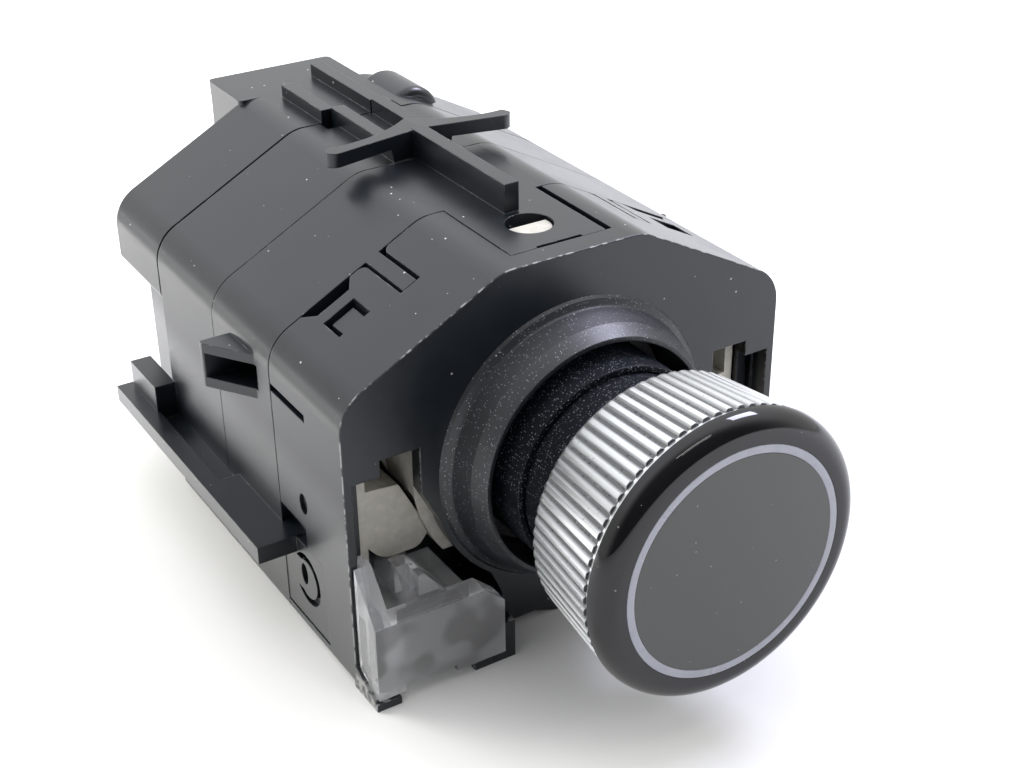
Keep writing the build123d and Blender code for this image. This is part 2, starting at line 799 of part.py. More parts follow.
def light_guide(side):
    """Clear light guide: lens in its tray, two posts, a slanted facet and the bar to the lamp."""
    lens_floor_z = window_sill_z + slide_gap
    bed_top_z = lens_top_z - 1.2
    fin_x = (guide_bar_x + 1.4, guide_bar_x + 3.5)
    bed_z = (guide_bed_floor_z, bed_top_z)
    face = polygon(
        (lens_outer_x, lens_floor_z),
        (lens_outer_x, lens_top_z),
        (lens_inner_x + lens_chamfer, lens_top_z),
        (lens_inner_x, lens_top_z - lens_chamfer * 0.9),
        (lens_inner_x, lens_floor_z),
        (19.6, lens_floor_z),
        (19.6, lens_floor_z + 0.8),
        (lens_outer_x - 3.5, lens_floor_z + 0.8),
        (lens_outer_x - 3.5, lens_floor_z),
    )
    lens_rear_y = lens_front_y + lens_t
    guide = slab(face, lens_front_y, lens_rear_y)
    bed_x = (guide_bed_x, half_width - neck_bore_inset - 1.6)
    bed = block(bed_x, (lens_rear_y - cut, guide_bed_rear_y), bed_z)
    post = polygon(
        (lens_front_y, lens_top_z - cut),
        (lens_front_y, lens_top_z),
        (-free_gap, guide_post_top_z),
        (guide_post_rear_y, guide_post_top_z),
        (guide_post_rear_y, lens_floor_z),
        (lens_rear_y - cut, lens_floor_z),
    )
    fin = polygon(
        (lens_rear_y - cut, lens_top_z),
        (slide_gap, guide_fin_top_z),
        (guide_post_rear_y, guide_fin_top_z),
        (guide_bed_rear_y, lens_top_z),
        (guide_bed_rear_y, bed_top_z - lens_t),
        (lens_rear_y - cut, bed_top_z - lens_t),
    )
    facet = polygon(
        (fin_x[0] + cut, facet_top_z),
        (fin_x[0] - free_gap, facet_top_z),
        (fin_x[0] - free_gap - facet_w, facet_top_z - facet_h),
        (fin_x[0] - free_gap - facet_w, bed_top_z - cut),
        (fin_x[0] + cut, bed_top_z - cut),
    )
    guide += bed
    front_post = side_slab(post, lens_outer_x - guide_post_w, lens_outer_x)
    guide += front_post & block((0, half_width), (lens_front_y, -free_gap), (floor_z, 0))
    guide += side_slab(post, lens_outer_x - guide_post_w, guide_outer_x)
    guide += side_slab(fin, *fin_x)
    guide += slab(facet, lens_rear_y - cut, guide_post_rear_y)
    link_y = (guide_post_rear_y - lens_t, guide_post_rear_y)
    guide += block((bed_x[1] - 2 * cut, guide_outer_x - 2 * cut), link_y, bed_z)
    guide -= side_slab(gusset_outline(slide_gap), window_outer_x - 2 * slide_gap, half_width + cut)
    half = guide_bar_w / 2
    bar_y = (guide_bed_rear_y - 2 * cut, board_front_y - led_t - free_gap)
    bar_z = (guide_bar_z - half, guide_bar_z + half)
    guide += block((guide_bar_x - half, guide_bar_x + half), bar_y, bar_z)
    if side < 0:
        return mirror(guide, about=Plane.YZ)
    return guide


def knob_ring():
    """Coned grip ring with a low lip and a row of flat-topped ribs behind it."""
    ring = turned(
        (ring_bore_r, cap_rear_y),
        (lip_r - 0.15, cap_rear_y),
        (lip_r, cap_rear_y + 0.15),
        (lip_r, rib_front_y),
        (rib_front_r, rib_front_y),
        (knob_rear_r, knob_rear_y - knob_rear_chamfer),
        (knob_rear_r - knob_rear_chamfer, knob_rear_y),
        (ring_skirt_bore_r + 0.2, knob_rear_y),
        (ring_skirt_bore_r, knob_rear_y - 0.2),
        (ring_skirt_bore_r, flange_front_y),
        (ring_bore_r, flange_front_y),
    )
    fall = rib_front_r - knob_rear_r
    run = knob_rear_y - knob_rear_chamfer - rib_front_y
    slope = math.atan2(fall, run)
    length = math.hypot(run, fall) + 3 * cut
    tangent = Plane(
        origin=(0, rib_front_y, rib_front_r),
        x_dir=(0, math.cos(slope), -math.sin(slope)),
        z_dir=(0, math.sin(slope), math.cos(slope)),
    )
    channel = Pos(length / 2 - cut / 2, 0) * Rectangle(length, groove_w)
    groove = extrude(tangent.offset(cut) * channel, amount=-cut - rib_h)
    step = 360 / rib_count
    ring -= [Rot(0, index * step, 0) * groove for index in range(rib_count)]
    return ring


def knob_cap():
    """Gloss cap with a rounded edge, a channel for the pale ring and a plug behind."""
    flat_r = knob_r - cap_edge_r
    diagonal = cap_edge_r * math.sqrt(0.5)
    plug_r = ring_bore_r - slide_gap
    rounding = ThreePointArc(
        (flat_r, cap_face_y),
        (flat_r + diagonal, cap_rear_y - diagonal),
        (knob_r, cap_rear_y),
    )
    rest = Polyline(
        (knob_r, cap_rear_y),
        (plug_r, cap_rear_y),
        (plug_r, flange_front_y - slide_gap),
        (plug_r - 1.2, flange_front_y - slide_gap),
        (plug_r - 1.2, cap_rear_y),
        (0, cap_rear_y),
        (0, cap_face_y),
        (flat_r, cap_face_y),
    )
    cap = revolve(make_face(rounding + rest), Axis.Y)
    channel = rod(inlay_outer_r, cap_face_y - cut, cap_face_y + inlay_t)
    channel -= rod(inlay_inner_r, cap_face_y - 2 * cut, cap_face_y + 2 * inlay_t)
    return cap - channel


def cap_inlay_ring():
    """Pale ring set flush in the cap's face."""
    ring = rod(inlay_outer_r, cap_face_y, cap_face_y + inlay_t)
    return ring - rod(inlay_inner_r, cap_face_y - cut, cap_face_y + inlay_t + cut)


def knob_carrier():
    """Stem of the knob: flange in the grip ring, outer tube with keys, hub for the rod."""
    flange_rear_y = flange_front_y + flange_t
    stem = rod(ring_skirt_bore_r - seat_gap, flange_front_y, flange_rear_y)
    tube = rod(stem_r, flange_rear_y - cut, stem_rear_y)
    tube -= rod(stem_bore_r, flange_rear_y - 2 * cut, stem_rear_y + cut)
    hub = rod(hub_r, flange_rear_y - cut, hub_rear_y)
    carrier = stem + tube + hub
    key_reach = stem_bore_r - key_depth
    key_z = (key_reach, stem_bore_r + stem_wall / 2)
    key = block((-key_w / 2, key_w / 2), (flange_rear_y - cut, stem_rear_y), key_z)
    step = 360 / key_count
    carrier += [Rot(0, index * step, 0) * key for index in range(key_count)]
    carrier -= rod(push_rod_r + slide_gap, flange_front_y - cut, hub_rear_y + cut)
    return carrier


def push_rod():
    """Rod that carries the push from the knob to the switch on the board."""
    head = rod(push_rod_r + 1.2, flange_front_y - 1.0, flange_front_y)
    tip = turned(
        (0, push_rod_rear_y),
        (push_rod_r - 0.5, push_rod_rear_y),
        (push_rod_r, push_rod_rear_y - 0.5),
        (push_rod_r, flange_front_y),
        (0, flange_front_y),
    )
    return head + tip


def rotor():
    """Turning sleeve with key slots, thrust disc and rear journal."""
    web_rear_y = rotor_web_y + rotor_web_t
    seat_r = detent_root_r - 3.0
    clip_front_y = race_rear_y + free_gap
    sleeve = turned(
        (rotor_r - rotor_wall, rotor_front_y),
        (rotor_r, rotor_front_y),
        (rotor_r, disc_front_y),
        (race_r - slide_gap, disc_front_y),
        (race_r - slide_gap, disc_front_y + disc_t),
        (seat_r, disc_front_y + disc_t),
        (seat_r, race_web_front_y - free_gap),
        (journal_r, race_web_front_y - free_gap),
        (journal_r, clip_front_y),
        (journal_r - 0.8, clip_front_y),
        (journal_r - 0.8, clip_front_y + 1.0),
        (journal_r, clip_front_y + 1.0),
        (journal_r, journal_rear_y),
        (rod_bore_r, journal_rear_y),
        (rod_bore_r, rotor_web_y),
        (rotor_r - rotor_wall, rotor_web_y),
    )
    slot_half = key_w / 2 + free_gap
    slot_z = (rotor_r - 2 * rotor_wall, rotor_r + cut)
    slot_rear = stem_rear_y + press_travel + free_gap
    slot = block((-slot_half, slot_half), (rotor_front_y - cut, slot_rear), slot_z)
    step = 360 / key_count
    sleeve -= [Rot(0, index * step, 0) * slot for index in range(key_count)]
    return sleeve


def detent_ring():
    """Lobed ring pushed on to the rotor behind its disc."""
    seat_r = detent_root_r - 3.0
    front = disc_front_y + disc_t
    ring = rod(detent_tip_r, front, front + detent_t)
    ring -= rod(seat_r, front - cut, front + detent_t + cut)
    step = 360 / detent_count
    valley_r = detent_tip_r * math.pi / detent_count * 0.8
    valley = rod(valley_r, front - cut, front + detent_t + cut, z=detent_root_r + valley_r)
    ring -= [Rot(0, (index + 0.5) * step, 0) * valley for index in range(detent_count)]
    return ring


def detent_spring():
    """Leaf bent into an open ring in the race, with two noses towards the lobes."""
    front = disc_front_y + disc_t + 0.4
    outer_r = race_r - slide_gap
    strip = Circle(outer_r) - Circle(outer_r - leaf_t)
    strip -= Pos(0, -outer_r) * Rectangle(outer_r, outer_r)
    nose_r = (outer_r - detent_tip_r) / 2 - slide_gap
    nose = Circle(nose_r) - Circle(nose_r - leaf_t)
    nose_at = outer_r - nose_r
    strip += Pos(nose_at, 0) * nose
    strip += Pos(-nose_at, 0) * nose
    return slab(strip, front, front + leaf_w)


def magnet_ring():
    """Ring magnet on the end of the journal, read by the sensor on the board."""
    front = journal_rear_y - magnet_t
    return rod(magnet_r, front, journal_rear_y) - rod(journal_r, front - cut, journal_rear_y + cut)


def rotor_clip():
    """Spring clip in the journal's groove, behind the race."""
    front = race_rear_y + free_gap
    groove_r = journal_r - 0.8
    clip = rod(journal_r + 1.6, front, front + 0.9)
    clip -= rod(groove_r, front - cut, front + 0.9 + cut)
    return clip - block((-groove_r * 0.7, groove_r * 0.7), (front - cut, front + 2), (-12, 0))


def return_spring():
    """Coil spring between the hub and the rotor's web."""
    half_wire = spring_wire / 2
    height = rotor_web_y - hub_rear_y - spring_wire - 2 * slide_gap
    path = Helix(height / spring_turns, height, spring_mean_r)
    section = Plane(origin=path @ 0, z_dir=path % 0) * Circle(half_wire)
    coil = sweep(section, path=path, is_frenet=True)
    return Pos(0, hub_rear_y + slide_gap + half_wire, 0) * Rot(-90, 0, 0) * coil


def circuit_board():
    """Board across the rear of the body, with its screw and pin holes."""
    board = slab(cover_section(board_edge), board_front_y, board_rear_y)
    for side in (-1, 1):
        for x, z in (post_upper, post_lower):
            board -= rod(screw_r + seat_gap, board_front_y - cut, board_rear_y + cut, side * x, z)
    holes = [rod(pin_w * 0.78, board_front_y - cut, board_rear_y + cut, x, z) for x, z in pin_places()]
    return board - holes


def pin_places():
    """Places (x, z) of the connector pins."""
    first = -(pin_count - 1) / 2 * pin_pitch
    return [(first + index * pin_pitch, z) for z in pin_rows_z for index in range(pin_count)]


def board_screws():
    """Four screws that hold the board on its posts."""
    screws = []
    for side in (-1, 1):
        for x, z in (post_upper, post_lower):
            shank = rod(screw_r, board_front_y - screw_depth, board_rear_y, side * x, z)
            head = rod(screw_head_r, board_rear_y, board_rear_y + screw_head_t, side * x, z)
            socket = slab(
                Pos(side * x, z) * RegularPolygon(screw_head_r * 0.5, 6),
                board_rear_y + screw_head_t * 0.4,
                board_rear_y + screw_head_t + cut,
            )
            screws.append(shank + head - socket)
    return Compound(children=screws)


def connector_header():
    """Shrouded connector that opens to the rear through the cover."""
    base_rear_y = board_rear_y + header_base_t
    x = (-header_half, header_half)
    shroud = block(x, (board_rear_y, header_rear_y), (header_floor_z, header_top_z))
    inner_x = (x[0] + header_wall, x[1] - header_wall)
    inner_z = (header_floor_z + header_wall, header_top_z - header_wall)
    shroud -= block(inner_x, (base_rear_y, header_rear_y + cut), inner_z)
    key_z = (header_top_z - 2 * header_wall, header_top_z + cut)
    shroud -= block((-1.6, 1.6), (base_rear_y + 3.0, header_rear_y + cut), key_z)
    half = pin_w / 2 + 0.03
    holes = [
        block((x - half, x + half), (board_rear_y - cut, base_rear_y + cut), (z - half, z + half))
        for x, z in pin_places()
    ]
    return shroud - holes


def connector_pins():
    """Square pins through the board and the connector's base."""
    half = pin_w / 2
    front = board_front_y - 0.8
    pins = [block((x - half, x + half), (front, pin_rear_y), (z - half, z + half)) for x, z in pin_places()]
    return Compound(children=pins)


def leds():
    """Lamps on the board that feed the two light guides."""
    half = led_w / 2
    lamps = []
    for side in (-1, 1):
        x = side * guide_bar_x
        lamp_z = (guide_bar_z - half, guide_bar_z + half)
        lamps.append(block((x - half, x + half), (board_front_y - led_t, board_front_y), lamp_z))
    return Compound(children=lamps)


def hall_sensor():
    """Sensor chip on the board, facing the ring magnet."""
    return block((-2.0, 2.0), (board_front_y - 1.0, board_front_y), (sensor_z - 1.5, sensor_z + 1.5))


def tact_switch():
    """Small push switch on the board, in line with the rod."""
    half = switch_w / 2
    case = block((-half, half), (board_front_y - switch_t, board_front_y), (-half, half))
    return case - rod(plunger_r + slide_gap, board_front_y - switch_t - cut, board_front_y - 0.6)


def tact_plunger():
    """Button of the small push switch."""
    front = push_rod_rear_y + slide_gap
    return rod(plunger_r, front, front + plunger_t)


PIECES = {
    "front_cover": front_cover,
    "collar_ring": collar_ring,
    "guide_bush": guide_bush,
    "body_housing": body_housing,
    "rear_cover": rear_cover,
    "light_box": light_box,
    "light_guide_left": lambda: light_guide(-1),
    "light_guide_right": lambda: light_guide(1),
    "knob_ring": knob_ring,
    "knob_cap": knob_cap,
    "cap_inlay_ring": cap_inlay_ring,
    "knob_carrier": knob_carrier,
    "push_rod": push_rod,
    "rotor": rotor,
    "detent_ring": detent_ring,
    "detent_spring": detent_spring,
    "magnet_ring": magnet_ring,
    "rotor_clip": rotor_clip,
    "return_spring": return_spring,
    "circuit_board": circuit_board,
    "board_screws": board_screws,
    "connector_header": connector_header,
    "connector_pins": connector_pins,
    "leds": leds,
    "hall_sensor": hall_sensor,
    "tact_switch": tact_switch,
    "tact_plunger": tact_plunger,
}

os.makedirs("parts", exist_ok=True)
for node, make in PIECES.items():
    export_step(make(), f"parts/{node}.step")
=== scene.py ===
"""Dashboard rotary push switch: fine surfaces, finishes, studio and camera.

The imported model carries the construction. This script keeps the nodes whose shape is right and
gives them finishes. It replaces the turned pieces round the knob axis, and the return spring, by
finer surfaces. The part's sizes are in millimetres and become metres in `build_mesh`, the studio's
are in metres. The knob axis is Y, the front is -Y and up is Z.
"""

import json
import logging
import math
from dataclasses import dataclass
from enum import Enum

import bpy
import numpy as np
from mathutils import Matrix, Vector

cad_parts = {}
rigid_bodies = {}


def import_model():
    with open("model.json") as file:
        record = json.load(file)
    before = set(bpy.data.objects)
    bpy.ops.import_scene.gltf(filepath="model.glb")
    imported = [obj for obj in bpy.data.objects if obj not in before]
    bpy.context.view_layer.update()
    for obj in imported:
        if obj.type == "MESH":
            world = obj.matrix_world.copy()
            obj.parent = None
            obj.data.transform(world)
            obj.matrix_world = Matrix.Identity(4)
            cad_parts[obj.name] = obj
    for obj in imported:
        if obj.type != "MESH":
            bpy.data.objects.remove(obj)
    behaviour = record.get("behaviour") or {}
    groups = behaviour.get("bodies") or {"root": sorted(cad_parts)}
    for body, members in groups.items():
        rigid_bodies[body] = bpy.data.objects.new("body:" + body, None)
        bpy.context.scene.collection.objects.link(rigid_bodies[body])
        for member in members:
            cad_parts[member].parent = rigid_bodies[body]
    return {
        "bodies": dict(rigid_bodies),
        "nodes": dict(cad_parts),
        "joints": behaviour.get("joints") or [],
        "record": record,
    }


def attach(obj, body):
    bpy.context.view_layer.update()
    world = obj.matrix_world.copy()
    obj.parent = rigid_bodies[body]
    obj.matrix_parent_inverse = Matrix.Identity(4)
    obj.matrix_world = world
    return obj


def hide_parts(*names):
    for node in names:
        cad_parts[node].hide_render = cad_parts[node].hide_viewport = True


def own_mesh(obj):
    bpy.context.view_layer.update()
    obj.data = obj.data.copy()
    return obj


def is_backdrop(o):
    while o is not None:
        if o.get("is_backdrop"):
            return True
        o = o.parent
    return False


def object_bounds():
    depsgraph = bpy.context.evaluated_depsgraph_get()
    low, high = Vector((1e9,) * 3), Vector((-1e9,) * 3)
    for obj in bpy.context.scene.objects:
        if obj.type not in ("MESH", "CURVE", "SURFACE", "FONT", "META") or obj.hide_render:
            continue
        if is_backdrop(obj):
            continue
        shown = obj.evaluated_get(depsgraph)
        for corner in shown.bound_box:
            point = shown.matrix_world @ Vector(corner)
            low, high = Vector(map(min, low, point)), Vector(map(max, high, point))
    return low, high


LOG = logging.getLogger("rotary_switch")
MM = 0.001
TURN = 2 * math.pi
SHARP_ANGLE = math.radians(38)

Piece = bpy.types.Object
Material = bpy.types.Material
Socket = bpy.types.NodeSocket
Sockets = bpy.types.bpy_prop_collection
Colour = tuple[float, float, float]
Place = tuple[float, float, float]
Span = tuple[float, float]
Face = tuple[int, ...]
# Radius from the knob axis, y, and the rounding of the corner.
Corner = tuple[float, float, float]

WHOLE: Span = (0.0, 1.0)


def opaque(colour: Colour) -> tuple[float, float, float, float]:
    """Colour with full alpha, as sockets want it."""
    return (*colour, 1.0)


def in_metres(span: Span) -> Span:
    """A span given in millimetres, in metres."""
    return (span[0] * MM, span[1] * MM)


def build_mesh(name: str, points: np.ndarray, faces: list[Face]) -> Piece:
    """Make a smooth-shaded object whose faces point outwards.

    The signed volume is a sixth of the sum of a . (b x c) over each face's fan of triangles. Where
    it comes out negative, every face is turned round.

    Args:
        name: Name of the piece.
        points: Vertices in millimetres, one row each.
        faces: Vertex numbers of each face.

    Returns:
        The new object, at the origin.
    """
    places = points * MM
    fans = np.array([(face[0], face[k], face[k + 1]) for face in faces for k in range(1, len(face) - 1)])
    a, b, c = (places[fans[:, k]] for k in range(3))
    if np.einsum("ij,ij->i", a, np.cross(b, c)).sum() < 0:
        faces = [face[::-1] for face in faces]
    mesh = bpy.data.meshes.new(name)
    mesh.from_pydata(places.tolist(), [], faces)
    mesh.polygons.foreach_set("use_smooth", np.ones(len(faces), bool))
    mesh.set_sharp_from_angle(angle=SHARP_ANGLE)
    mesh.update()
    piece = bpy.data.objects.new(name, mesh)
    bpy.context.scene.collection.objects.link(piece)
    return piece


def grid_faces(rows: int, columns: int, wrap_rows: bool) -> list[Face]:
    """Quads of a grid whose columns close on themselves.

    Args:
        rows: Number of rows of vertices.
        columns: Number of vertices in a row.
        wrap_rows: Whether the last row joins the first one.

    Returns:
        Vertex numbers, four to a quad.
    """
    row = np.arange(rows if wrap_rows else rows - 1)[:, None]
    column = np.arange(columns)[None, :]
    onward = (column + 1) % columns
    below = (row + 1) % rows
    corners = (
        row * columns + column,
        row * columns + onward,
        below * columns + onward,
        below * columns + column,
    )
    return [tuple(face) for face in np.stack(corners, axis=-1).reshape(-1, 4).tolist()]


def filleted(corners: list[Corner], closed: bool, steps: int = 6) -> np.ndarray:
    """Outline whose corners are rounded.

    An arc of radius r at a corner that turns by t starts r * tan(t / 2) before it and ends as far
    behind it. Its centre lies on the bisector, r / cos(t / 2) from the corner.

    Args:
        corners: Corner places with their roundings.
        closed: Whether the last corner joins the first one.
        steps: Pieces of each arc.

    Returns:
        Points of the outline as (radius from the axis, y).
    """
    places = np.array([corner[:2] for corner in corners])
    outline = []
    for index, (here, rounding) in enumerate(zip(places, (corner[2] for corner in corners))):
        if rounding <= 0 or (not closed and index in (0, len(corners) - 1)):
            outline.append(here[None, :])
            continue
        back = places[index - 1] - here
        onward = places[(index + 1) % len(places)] - here
        back, onward = back / np.linalg.norm(back), onward / np.linalg.norm(onward)
        half_turn = (math.pi - math.acos(float(np.clip(back @ onward, -1, 1)))) / 2
        bisector = (back + onward) / np.linalg.norm(back + onward)
        centre = here + bisector * rounding / math.cos(half_turn)
        swing = np.linspace(-half_turn, half_turn, steps + 1)[:, None]
        side = np.array([-bisector[1], bisector[0]])
        if side @ onward < 0:
            side = -side
        outline.append(centre + rounding * (np.sin(swing) * side - np.cos(swing) * bisector))
    return np.concatenate(outline)


def turned_points(radius: np.ndarray, depth: np.ndarray, turns: np.ndarray) -> np.ndarray:
    """Places about the knob axis: x = r cos(a), y = depth, z = r sin(a)."""
    return np.stack((radius * np.cos(turns), depth + 0 * turns, radius * np.sin(turns)), axis=-1)


def even_turns(segments: int) -> np.ndarray:
    """Angles of one whole turn in even steps, as one row."""
    return np.linspace(0, TURN, segments, endpoint=False)[None, :]


def turned_ring(name: str, corners: list[Corner], segments: int = 288) -> Piece:
    """Closed ring turned about the knob axis from a filleted profile."""
    profile = filleted(corners, closed=True)
    points = turned_points(profile[:, :1], profile[:, 1:], even_turns(segments))
    return build_mesh(name, points.reshape(-1, 3), grid_faces(len(profile), segments, wrap_rows=True))


def turned_disc(name: str, corners: list[Corner], segments: int = 288, steps: int = 14) -> Piece:
    """Solid turned about the knob axis, whose profile starts and ends on the axis.

    The two ends are single vertices, joined to the rows next to them by triangles.
    """
    profile = filleted(corners, closed=False, steps=steps)
    wall = turned_points(profile[1:-1, :1], profile[1:-1, 1:], even_turns(segments)).reshape(-1, 3)
    poles = np.array([[0, profile[0, 1], 0], [0, profile[-1, 1], 0]])
    faces = grid_faces(len(profile) - 2, segments, wrap_rows=False)
    last_row = len(wall) - segments
    for k in range(segments):
        onward = (k + 1) % segments
        faces.append((len(wall), onward, k))
        faces.append((len(wall) + 1, last_row + k, last_row + onward))
    return build_mesh(name, np.concatenate((wall, poles)), faces)


class Wiring:
    """Small helper that adds and joins the nodes of one tree."""

    def __init__(self, tree: bpy.types.NodeTree) -> None:
        """Keep the tree that the nodes go into."""
        self.tree = tree

    def add(self, kind: str, **settings: object) -> bpy.types.Node:
        """Add a node and set its properties."""
        node = self.tree.nodes.new(kind)
        for key, value in settings.items():
            setattr(node, key, value)
        return node

    def feed(self, socket: Socket, value: object) -> None:
        """Join a socket to another one, or set its plain value."""
        if isinstance(value, Socket):
            self.tree.links.new(value, socket)
        else:
            socket.default_value = value

    def math(self, operation: str, a: object, b: object = 0.0, clamp: bool = False) -> Socket:
        """Result of a Math node on two values."""
        node = self.add("ShaderNodeMath", operation=operation, use_clamp=clamp)
        self.feed(node.inputs[0], a)
        self.feed(node.inputs[1], b)
        return node.outputs[0]

    def times(self, a: object, b: object) -> Socket:
        """Product of two values."""
        return self.math("MULTIPLY", a, b)

    def plus(self, a: object, b: object) -> Socket:
        """Sum of two values."""
        return self.math("ADD", a, b)

    def most(self, a: object, b: object, clamp: bool = False) -> Socket:
        """Larger one of two values."""
        return self.math("MAXIMUM", a, b, clamp)

    def reach(self, a: object, b: object) -> Socket:
        """Distance from the origin of a plane, the root of a * a + b * b."""
        return self.math("SQRT", self.plus(self.math("POWER", a, 2.0), self.math("POWER", b, 2.0)))

    def choose(self, share: object, a: object, b: object) -> Socket:
        """Value a where the share is 0 and b where it is 1."""
        return self.plus(self.times(b, share), self.times(a, self.math("SUBTRACT", 1.0, share)))

    def vector(self, operation: str, *vectors: object) -> Sockets:
        """Outputs of a Vector Math node."""
        node = self.add("ShaderNodeVectorMath", operation=operation)
        for socket, vector in zip(node.inputs, vectors):
            self.feed(socket, vector)
        return node.outputs

    def ease(self, value: object, span: Span, out: Span = WHOLE) -> Socket:
        """Smooth step of a value over a span, put out between two ends."""
        node = self.add("ShaderNodeMapRange", interpolation_type="SMOOTHSTEP")
        for socket, number in zip(node.inputs[:5], (value, *span, *out)):
            self.feed(socket, number)
        return node.outputs[0]

    def about(self, mask: object, middle: float, swing: float) -> Socket:
        """Value that a mask moves from below its middle to as far above it."""
        return self.ease(mask, WHOLE, (middle - swing, middle + swing))

    def blend(self, share: object, a: object, b: object) -> Socket:
        """Mix of two colours by a share."""
        node = self.add("ShaderNodeMix", data_type="RGBA")
        self.feed(node.inputs["Factor"], share)
        self.feed(node.inputs[6], a if isinstance(a, Socket) else opaque(a))
        self.feed(node.inputs[7], b if isinstance(b, Socket) else opaque(b))
        return node.outputs[2]

    def noise(self, vector: object, scale: object, detail: float = 2.0, rough: float = 0.5) -> Socket:
        """Value of a noise texture, its scale in cells for each metre."""
        node = self.add("ShaderNodeTexNoise")
        self.feed(node.inputs["Vector"], vector)
        self.feed(node.inputs["Scale"], scale)
        self.feed(node.inputs["Detail"], detail)
        self.feed(node.inputs["Roughness"], rough)
        return node.outputs["Fac"]

    def place(self) -> Socket:
        """Object coordinates, in metres from the origin of the part."""
        return self.add("ShaderNodeTexCoord").outputs["Object"]

    def split(self, vector: Socket) -> Sockets:
        """The three parts of a vector."""
        node = self.add("ShaderNodeSeparateXYZ")
        self.feed(node.inputs[0], vector)
        return node.outputs

    def bump(self, height: object, depth_mm: float, normal: object = None) -> Socket:
        """Normal bent by a height, whose full range is depth_mm deep."""
        node = self.add("ShaderNodeBump")
        self.feed(node.inputs["Strength"], 1.0)
        self.feed(node.inputs["Distance"], depth_mm * MM)
        self.feed(node.inputs["Height"], height)
        if normal is not None:
            self.feed(node.inputs["Normal"], normal)
        return node.outputs[0]


class Effect(Enum):
    """Shared effects, each one shader node group."""

    SPECKS = "dust_specks"
    SMUDGES = "handling_smudges"
    EDGES = "softened_edges"
    GRAIN = "moulded_grain"


@dataclass(frozen=True)
class Specks:
    """Specks of one kind: cells for each metre, share of cells with a speck, and its size in its cell."""

    cells: float
    share: float
    radius: float = 0.12


